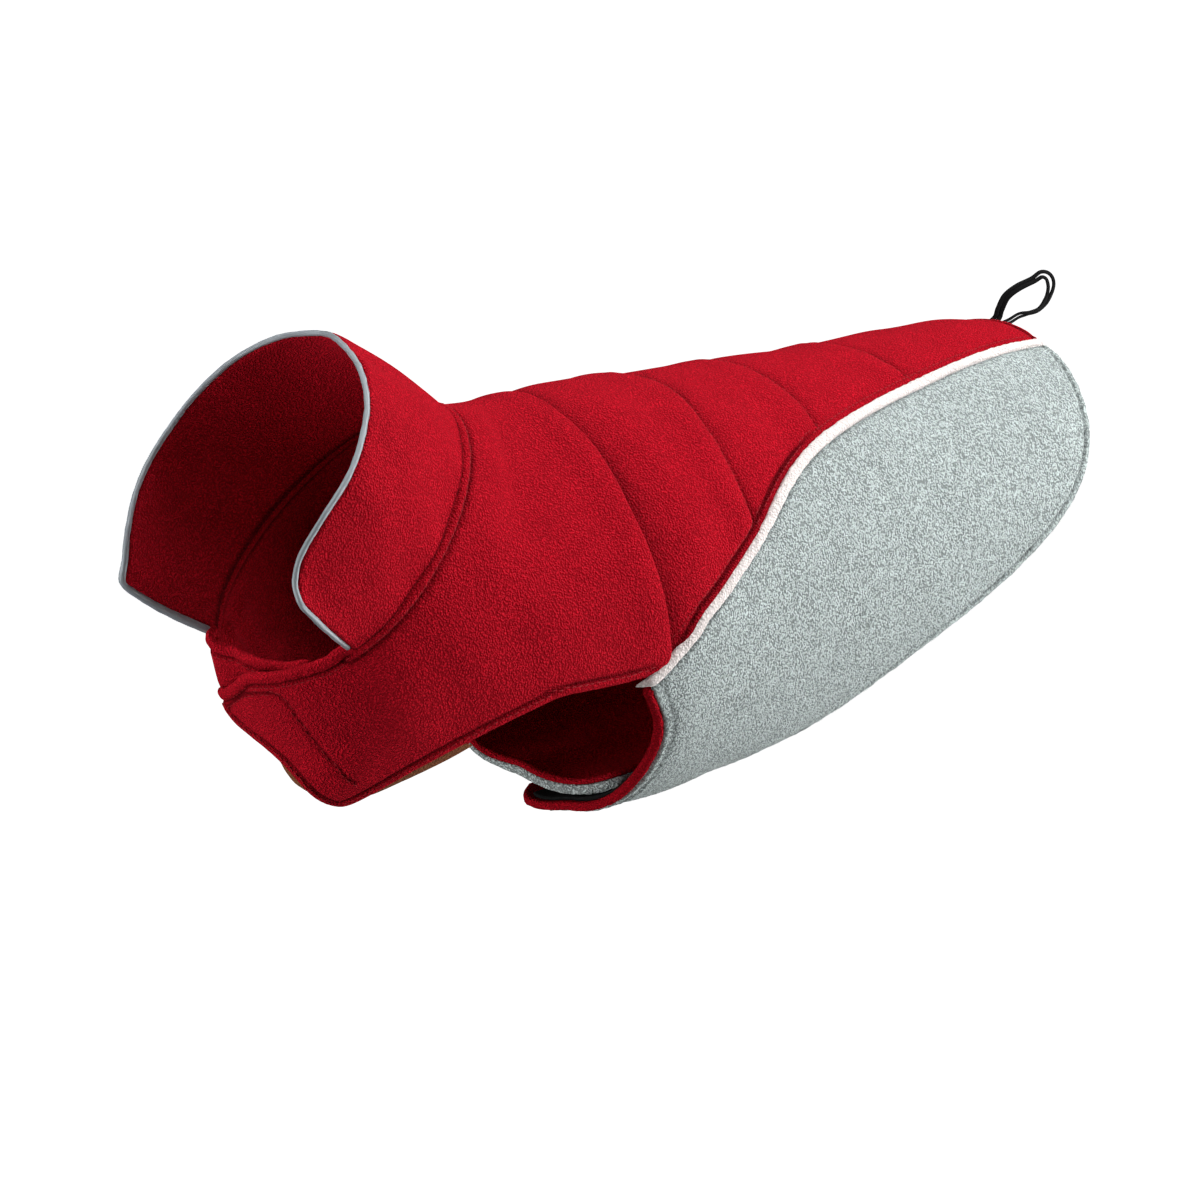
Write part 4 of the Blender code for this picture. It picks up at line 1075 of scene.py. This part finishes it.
def make_neck_band(side):
    """Make the rolled band on the neck edge in front of the collar."""
    half, sign = mm("band_width") / 2, SIDES[side]
    angles = np.linspace(BAND_START, BAND_ENDS[side], 300)
    line = np.column_stack([read_table(flap_table(side), angles)[:, 0], angles * sign])
    under = 1 - ease(angles, COLLAR_END - 5, COLLAR_END + 5)
    centre = shift_line(line, -sign * (half - 0.3))
    line = even_line(centre + (shift_line(line, sign * (half - 0.4)) - centre) * under[:, None],
                     0.8)
    depth = yoke_depth(*line.T) + 1.3 + 1.2 * (1 - ease(np.abs(line[:, 1]), BAND_START, 136.0))
    roll_on_form(f"neck_band_{side}_roll", line, depth, half, 2.1, "red_fleece",
                 f"neck_band_{side}", around=18, unevenness=0.16, seed=81)


def column_grid(angles, front, rear, lengths, spacing, near=EDGE_STEPS):
    """Return the stations and angles of a grid whose columns run from front to rear."""
    along = lay_steps(lengths, spacing, near)
    return (front[:, None] + (rear - front)[:, None] * along,
            np.repeat(angles[:, None], along.shape[1], axis=1))


def patch_grid(angles, front, rear, sign, spacing):
    """Return the grid of a patch whose columns run from front to rear stations."""
    places, near = form_point(front, angles), (0.0, 0.1, 0.4, 1.0)
    angles, front, rear = (step_along(places, row, spacing, near)
                           for row in (angles, front, rear))
    span = np.linalg.norm(form_point(front, angles) - form_point(rear, angles), axis=1)
    station, angle = column_grid(angles, front, rear, span, spacing, near)
    return station, angle * sign


def make_chest_patch():
    """Make the loop patch on the right chest flap, under the left one."""
    angles = np.linspace(*CHEST_PATCH, 200)
    edges = read_table(flap_table("right"), angles)
    rear = edges[:, 1] - 0.2 - 2.4 * (1 - ease(angles, CHEST_PATCH[0], 158.0))
    front = np.maximum(8.0 + 6.0 * (1 - ease(angles, 160.0, 178.0)), edges[:, 0] + 0.6)
    station, angle = patch_grid(angles, front, rear, -1, 2.0)
    lay_panel("chest_loop_patch_cloth", station, angle, yoke_depth(station, angle) - 2.2, 1.9,
              sway(form_point(station, angle), 7.0, 0.1, 91), "loop_patch", "chest_loop_patch")


def belly_strip(start, end, inset, more=0.0):
    """Return a belly patch's angles and its front and rear stations."""
    angles = np.linspace(start, end, 120)
    edge = read_table([(angle, station) for station, angle in LEG_EDGE], angles)[:, 0] + inset
    return angles, edge + more * ease(angles, 150.0, 166.0), edge + PATCH_LENGTH


def make_belly_patch():
    """Make the loop patch on the outer face of the right belly flap."""
    station, angle = patch_grid(*belly_strip(*BELLY_PATCH, 5.0, 7.0), -1, 2.2)
    lay_panel("belly_loop_patch_cloth", station, angle, belly_depth(angle) - 2.0, 1.5,
              sway(form_point(station, angle), 7.0, 0.1, 92), "loop_patch", "belly_loop_patch")


def make_hook_tape():
    """Make the hook tape on the inner face of the left belly flap."""
    station, angle = patch_grid(*belly_strip(*HOOK_TAPE, 0.4), 1, 2.2)
    top = belly_depth(angle) + (mm("pile_wall") + mm("lining_wall") + 0.4)
    lay_panel("belly_hook_tape_strip", station, angle, top, 1.9, np.zeros(angle.shape),
              "hook_tape", "belly_hook_tape")


def make_tail_loop():
    """Make the elastic loop: two narrow ribbed elastics side by side, sewn to the tail hem."""
    turn = ELASTIC_HEADING
    heading = np.array([math.sin(turn), math.cos(turn), 0.0])
    across = np.array([math.cos(turn), -math.sin(turn), 0.0])
    places = np.array([np.array(ELASTIC_BASE) + heading * along + np.array([0.0, 0.0, high])
                       for along, high in ELASTIC_ROUTE])
    for end in (0, -1):
        places[end] -= heading * 2.2
        places[end, 2] = ELASTIC_END
    route = smooth_line(places, 0.5)
    share = np.linspace(0, 1, len(route))
    ahead = tangents(route)
    lean = np.radians(np.interp(share, *ELASTIC_LEAN))[:, None]
    flat = across * np.cos(lean) + unit(np.cross(ahead, across)) * np.sin(lean)
    thick = unit(np.cross(ahead, flat))
    apart_by = 1.05 + 0.9 * dent(share - 0.5, 0.07) + 0.5 * dent(share - 0.8, 0.06)
    for number, sign in enumerate((1, -1)):
        centres = route + flat * (sign * apart_by)[:, None]
        centres = centres + thick * (0.3 * sign * np.sin(share * 17.0))[:, None]
        make_roll(f"tail_loop_elastic_{number + 1}", centres, flat, thick, 1.15, 0.6, "elastic",
                  () if number else ("tail_loop",), around=16, cap=0.2)


# ---- stitches

def stitch_shape():
    """Model one stitch as a short soft rod, and return its points and its faces."""
    sizes = bpy.context.scene.coat_sizes
    deselect()
    bpy.ops.mesh.primitive_uv_sphere_add(segments=6, ring_count=5, radius=1.0)
    rod = bpy.context.object
    bpy.ops.object.mode_set(mode="EDIT")
    bpy.ops.mesh.select_all(action="SELECT")
    bpy.ops.transform.rotate(value=math.pi / 2, orient_axis="Y", center_override=(0, 0, 0))
    bpy.ops.transform.resize(value=(sizes.stitch_length / 2, sizes.thread_radius,
                                    sizes.thread_radius), center_override=(0, 0, 0))
    bpy.ops.object.mode_set(mode="OBJECT")
    points = np.array([vertex.co for vertex in rod.data.vertices]) / MM
    faces = [tuple(face.vertices) for face in rod.data.polygons]
    bpy.ops.object.delete()
    return points, faces


def sew(name, cloth, lines, slot, thread):
    """Sew lines of stations and angles on a piece of cloth, with its stitches in one piece."""
    shape, shape_faces = stitch_shape()
    tree = bvhtree.BVHTree.FromObject(bpy.data.objects[cloth],
                                      bpy.context.evaluated_depsgraph_get())
    points, faces = [], []
    for line, depth in lines:
        places = even_line(on_form(line[:, 0], line[:, 1], depth - 2.0),
                           mm("stitch_length") * 1.3)
        for place, ahead in zip(places, tangents(places)):
            spot, normal, _, _ = tree.find_nearest(place * MM)
            up = np.array(normal)
            side = unit(np.cross(up, ahead))
            base = len(points) * len(shape)
            points.append(shape @ np.array([np.cross(side, up), side, up])
                          + np.array(spot) / MM + up * 0.05)
            faces += [tuple(base + corner for corner in face) for face in shape_faces]
    add_mesh(name, np.concatenate(points), faces, slot, finish=thread_finish(*thread))


def make_stitches():
    """Sew the coat's lines of topstitching and quilting."""
    hem, half = mm("hem_width"), mm("piping_width") / 2
    colours = bpy.context.scene.coat_colours
    red = ("crimson sewing thread", colours.fleece)
    turns = np.linspace(-1, 1, 240)
    neck = np.column_stack([np.zeros(240), turns * (COLLAR_END - 3)])
    lines = [(shift_line(neck, NECK_STITCH), 0.0)]
    for side, sign in SIDES.items():
        table = flap_table(side)
        angles = np.linspace(104.0, table[-1, 0] - 1.5, 240)
        front, rear = (np.column_stack([column, angles * sign])
                       for column in read_table(table, angles).T)
        end = np.column_stack([np.linspace(front[-1, 0], rear[-1, 0], 40),
                               np.full(40, table[-1, 0] * sign)])
        lines += [(line, yoke_depth(*line.T)) for line in (
            shift_line(rear, -hem * sign), shift_line(front[angles > 141.0], 0.8 * sign),
            shift_line(end, -hem * END_HEM[side] * sign))]
    lines.append((smooth_line(TAPE_STITCHING, 1.0), 0.0))
    sew("yoke_topstitching", "yoke_with_flaps", lines, "red_fleece", red)
    lines = []
    for row in QUILT_ROWS[1:]:
        angles = turns * (side_seam(np.array([row]))[0, 1] - 3.0)
        lines.append((np.column_stack([quilt_station(np.full(240, row), angles), angles]), 0.0))
    for sign in SIDES.values():
        seam = side_seam(np.linspace(64.0, 383.0, 400)) * (1, sign)
        strip = (half + hem * side_share(seam[:, :1])) * sign
        lines.append((shift_line(seam, strip), 0.0))
    tail = np.column_stack([read_table(TAIL_HEM, np.abs(turns * 25))[:, 0], turns * 25])
    lines.append((shift_line(tail, TAIL_STITCH - hem), 0.0))
    sew("back_topstitching", "back_panel_quilted", lines, "red_fleece", red)
    for side, sign in SIDES.items():
        lines = [(line, belly_depth(line[:, 1])) for line in (
            shift_line(smooth_line(PANEL_HEM, 1.0) * (1, sign), -mm("pile_hem_width") * sign),
            shift_line(smooth_line(LEG_EDGE, 1.0) * (1, sign), LEG_STITCH * sign))]
        sew(f"side_topstitching_{side}", f"side_panel_{side}_pile", lines, "grey_pile",
            ("pale grey sewing thread", colours.pile))


def declare_sheets():
    objects = bpy.data.objects
    for name, flat, area, held, below, sewn in SHEETS:
        [objects[piece] for piece in sewn]


# ---- stage

CAMERA_AZIMUTH = math.radians(42.0)
CAMERA_HEIGHT = math.radians(7.0)
CAMERA_DISTANCE = 2200.0
FOCAL_PIXELS = 4928.0
FRAME_PIXELS = 1200.0
TARGET = (0.0, -52.0, -81.8)          # this place of the coat is seen at TARGET_PIXEL
TARGET_PIXEL = (655.6, 555.0)
LIGHT_ABOVE, LIGHT_BELOW = 0.12, 0.03  # strength of the surrounding light
LIGHTS_AIM, LIGHTS_DISTANCE = (0.0, -0.05, -0.08), 1.6
# Softboxes. Columns: name, degrees round the coat from its nose to its left, height, watts.
SOFTBOXES = (
    ("front overhead softbox", 330.0, 60.0, 14.0),
    ("rear overhead softbox", 150.0, 60.0, 19.0),
    ("side softbox", 115.0, 25.0, 27.0),
    ("front softbox", 335.0, -5.0, 14.5),
    ("rear low softbox", 145.0, -30.0, 25.0),
    ("front low softbox", 5.0, -35.0, 6.0),
)


def toward(azimuth, height):
    """Return the direction from the coat towards a camera or light."""
    return np.array([math.sin(azimuth) * math.cos(height), -math.cos(azimuth) * math.cos(height),
                     math.sin(height)])


def add_camera():
    """Add the camera, which sees the coat from in front, to its left."""
    back = toward(CAMERA_AZIMUTH, CAMERA_HEIGHT)
    right = np.array([math.cos(CAMERA_AZIMUTH), math.sin(CAMERA_AZIMUTH), 0.0])
    up = np.cross(back, right)
    aside, above = ((np.array(TARGET_PIXEL) - FRAME_PIXELS / 2) * (-1, 1)
                    * (CAMERA_DISTANCE / FOCAL_PIXELS))
    place = (np.array(TARGET) + back * CAMERA_DISTANCE + right * aside + up * above) * MM
    data = bpy.data.cameras.new("coat camera")
    data.sensor_width = 36.0
    data.lens = FOCAL_PIXELS / FRAME_PIXELS * data.sensor_width
    data.clip_start, data.clip_end = 0.05, 60.0
    camera = bpy.data.objects.new("coat camera", data)
    bpy.context.scene.collection.objects.link(camera)
    camera.matrix_world = Matrix([[*row, at] for row, at in
                                  zip(np.column_stack([right, up, back]), place)] + [[0, 0, 0, 1]])
    bpy.context.scene.camera = camera


def add_light(name, place, power):
    """Add a soft round light that faces the coat."""
    data = bpy.data.lights.new(name, "AREA")
    data.shape, data.size, data.energy = "DISK", 1.0, power
    light = bpy.data.objects.new(name, data)
    bpy.context.scene.collection.objects.link(light)
    light.location = place
    away = light.location - Matrix.Translation(LIGHTS_AIM).translation
    light.rotation_euler = away.to_track_quat("Z", "Y").to_euler()


def pale_world():
    """Return a studio light that comes softly from above and hardly from below."""
    world = bpy.data.worlds.new("pale studio")
    world.use_nodes = True
    tree = world.node_tree
    place = add_node(tree, "TexCoord", out="Generated")
    parts = add_node(tree, "SeparateXYZ", (), {0: place}, "Z")
    ramp = add_node(tree, "MapRange", {"From Min": -0.35, "From Max": 0.9, "To Min": LIGHT_BELOW,
                                       "To Max": LIGHT_ABOVE}, {"Value": parts},
                    interpolation_type="SMOOTHSTEP")
    background = tree.nodes["Background"].inputs
    tree.links.new(ramp, background["Strength"])
    background["Color"].default_value = (1.0, 1.0, 1.0, 1.0)
    return world


def add_ground(name, size, place, turn, material):
    """Add a square of the stage that lights nothing else."""
    deselect()
    bpy.ops.mesh.primitive_plane_add(size=size, location=place)
    ground = bpy.context.object
    ground.name, ground.rotation_euler = name, turn
    ground.data.materials.append(material)
    ground.visible_diffuse = ground.visible_glossy = False


def make_stage():
    """Make the pale floor and backdrop, the soft lights and the camera."""
    scene = bpy.context.scene
    material = bpy.data.materials.new("pale studio floor")
    material.use_nodes = True
    shader = material.node_tree.nodes["Principled BSDF"]
    for socket, value in (("Roughness", 0.9), ("Base Color", (0.9, 0.9, 0.9, 1.0)),
                          ("Emission Color", (1.0, 1.0, 1.0, 1.0)), ("Emission Strength", 1.0)):
        shader.inputs[socket].default_value = value
    add_ground("studio_floor", 40.0, (0.0, 0.0, -1.5), (0.0, 0.0, 0.0), material)
    add_ground("studio_backdrop", 16.0, (-4.0, 5.0, 0.0), (math.pi / 2, 0.0, CAMERA_AZIMUTH),
               material)
    scene.world = pale_world()
    scene.view_settings.view_transform = "Standard"
    add_camera()
    for name, azimuth, height, power in SOFTBOXES:
        way = toward(math.radians(azimuth), math.radians(height))
        add_light(name, np.array(LIGHTS_AIM) + way * LIGHTS_DISTANCE, power)


def deselect():
    """Leave nothing selected, so that an operator acts on its own piece only."""
    if bpy.context.object and bpy.context.object.mode != "OBJECT":
        bpy.ops.object.mode_set(mode="OBJECT")
    bpy.ops.object.select_all(action="DESELECT")


# ---- operators

class CoatOperator:
    """What every operator of the coat shares."""
    bl_options = {"REGISTER", "UNDO"}

    def execute(self, context):
        """Make the pieces."""
        self.make()
        return {"FINISHED"}


class COAT_OT_back(CoatOperator, bpy.types.Operator):
    """Make the quilted back panel"""
    bl_idname = "coat.back"
    bl_label = "Quilted back"

    def make(self):
        make_back_panel()


class COAT_OT_yoke(CoatOperator, bpy.types.Operator):
    """Make the shoulder yoke with its two chest flaps"""
    bl_idname = "coat.yoke"
    bl_label = "Yoke and chest flaps"

    def make(self):
        make_yoke()


class COAT_OT_collar(CoatOperator, bpy.types.Operator):
    """Make the standing collar and its grey piping"""
    bl_idname = "coat.collar"
    bl_label = "Collar"

    def make(self):
        make_collar()
        make_rim_piping()


class COAT_OT_sides(CoatOperator, bpy.types.Operator):
    """Make both grey side panels and their linings"""
    bl_idname = "coat.sides"
    bl_label = "Side panels"

    def make(self):
        for side in SIDES:
            make_side_panel(side)
            make_side_lining(side)


class COAT_OT_trim(CoatOperator, bpy.types.Operator):
    """Make the side piping and the rolled neck bands"""
    bl_idname = "coat.trim"
    bl_label = "Piping and neck bands"

    def make(self):
        for side in SIDES:
            make_side_piping(side)
            make_neck_band(side)


class COAT_OT_closures(CoatOperator, bpy.types.Operator):
    """Make the loop patches and the hook tape"""
    bl_idname = "coat.closures"
    bl_label = "Hook and loop"

    def make(self):
        make_chest_patch()
        make_belly_patch()
        make_hook_tape()


class COAT_OT_tail_loop(CoatOperator, bpy.types.Operator):
    """Make the elastic loop on the tail hem"""
    bl_idname = "coat.tail_loop"
    bl_label = "Elastic loop"

    def make(self):
        make_tail_loop()


class COAT_OT_stitches(CoatOperator, bpy.types.Operator):
    bl_idname = "coat.stitches"
    bl_label = "Stitching"

    def make(self):
        make_stitches()
        declare_sheets()


class COAT_OT_stage(CoatOperator, bpy.types.Operator):
    """Make the floor, the lights and the camera"""
    bl_idname = "coat.stage"
    bl_label = "Stage"

    def make(self):
        make_stage()


OPERATORS = (COAT_OT_back, COAT_OT_yoke, COAT_OT_collar, COAT_OT_sides, COAT_OT_trim,
             COAT_OT_closures, COAT_OT_tail_loop, COAT_OT_stitches, COAT_OT_stage)


class COAT_PT_panel(bpy.types.Panel):
    """Lists the sizes, the colours and the pieces of the coat"""
    bl_idname = "COAT_PT_panel"
    bl_label = "Dog winter coat"
    bl_space_type = "VIEW_3D"
    bl_region_type = "UI"
    bl_category = "Coat"

    def draw(self, context):
        """Draw the properties and a button for each operator."""
        for group in (context.scene.coat_sizes, context.scene.coat_colours):
            column = self.layout.column(align=True)
            for name in type(group).__annotations__:
                column.prop(group, name)
        for operator in OPERATORS:
            self.layout.operator(operator.bl_idname)


CLASSES = (CoatSizes, CoatColours, *OPERATORS, COAT_PT_panel)


def register():
    """Register the classes and hang the properties on the scene."""
    for kind in CLASSES:
        bpy.utils.register_class(kind)
    bpy.types.Scene.coat_sizes = bpy.props.PointerProperty(type=CoatSizes)
    bpy.types.Scene.coat_colours = bpy.props.PointerProperty(type=CoatColours)


def unregister():
    """Take the properties and the classes away again."""
    del bpy.types.Scene.coat_colours
    del bpy.types.Scene.coat_sizes
    for kind in reversed(CLASSES):
        bpy.utils.unregister_class(kind)


def main():
    """Make the whole coat and its stage."""
    register()
    for operator in OPERATORS:
        group, name = operator.bl_idname.split(".")
        getattr(getattr(bpy.ops, group), name)()


if __name__ == "__main__":
    main()
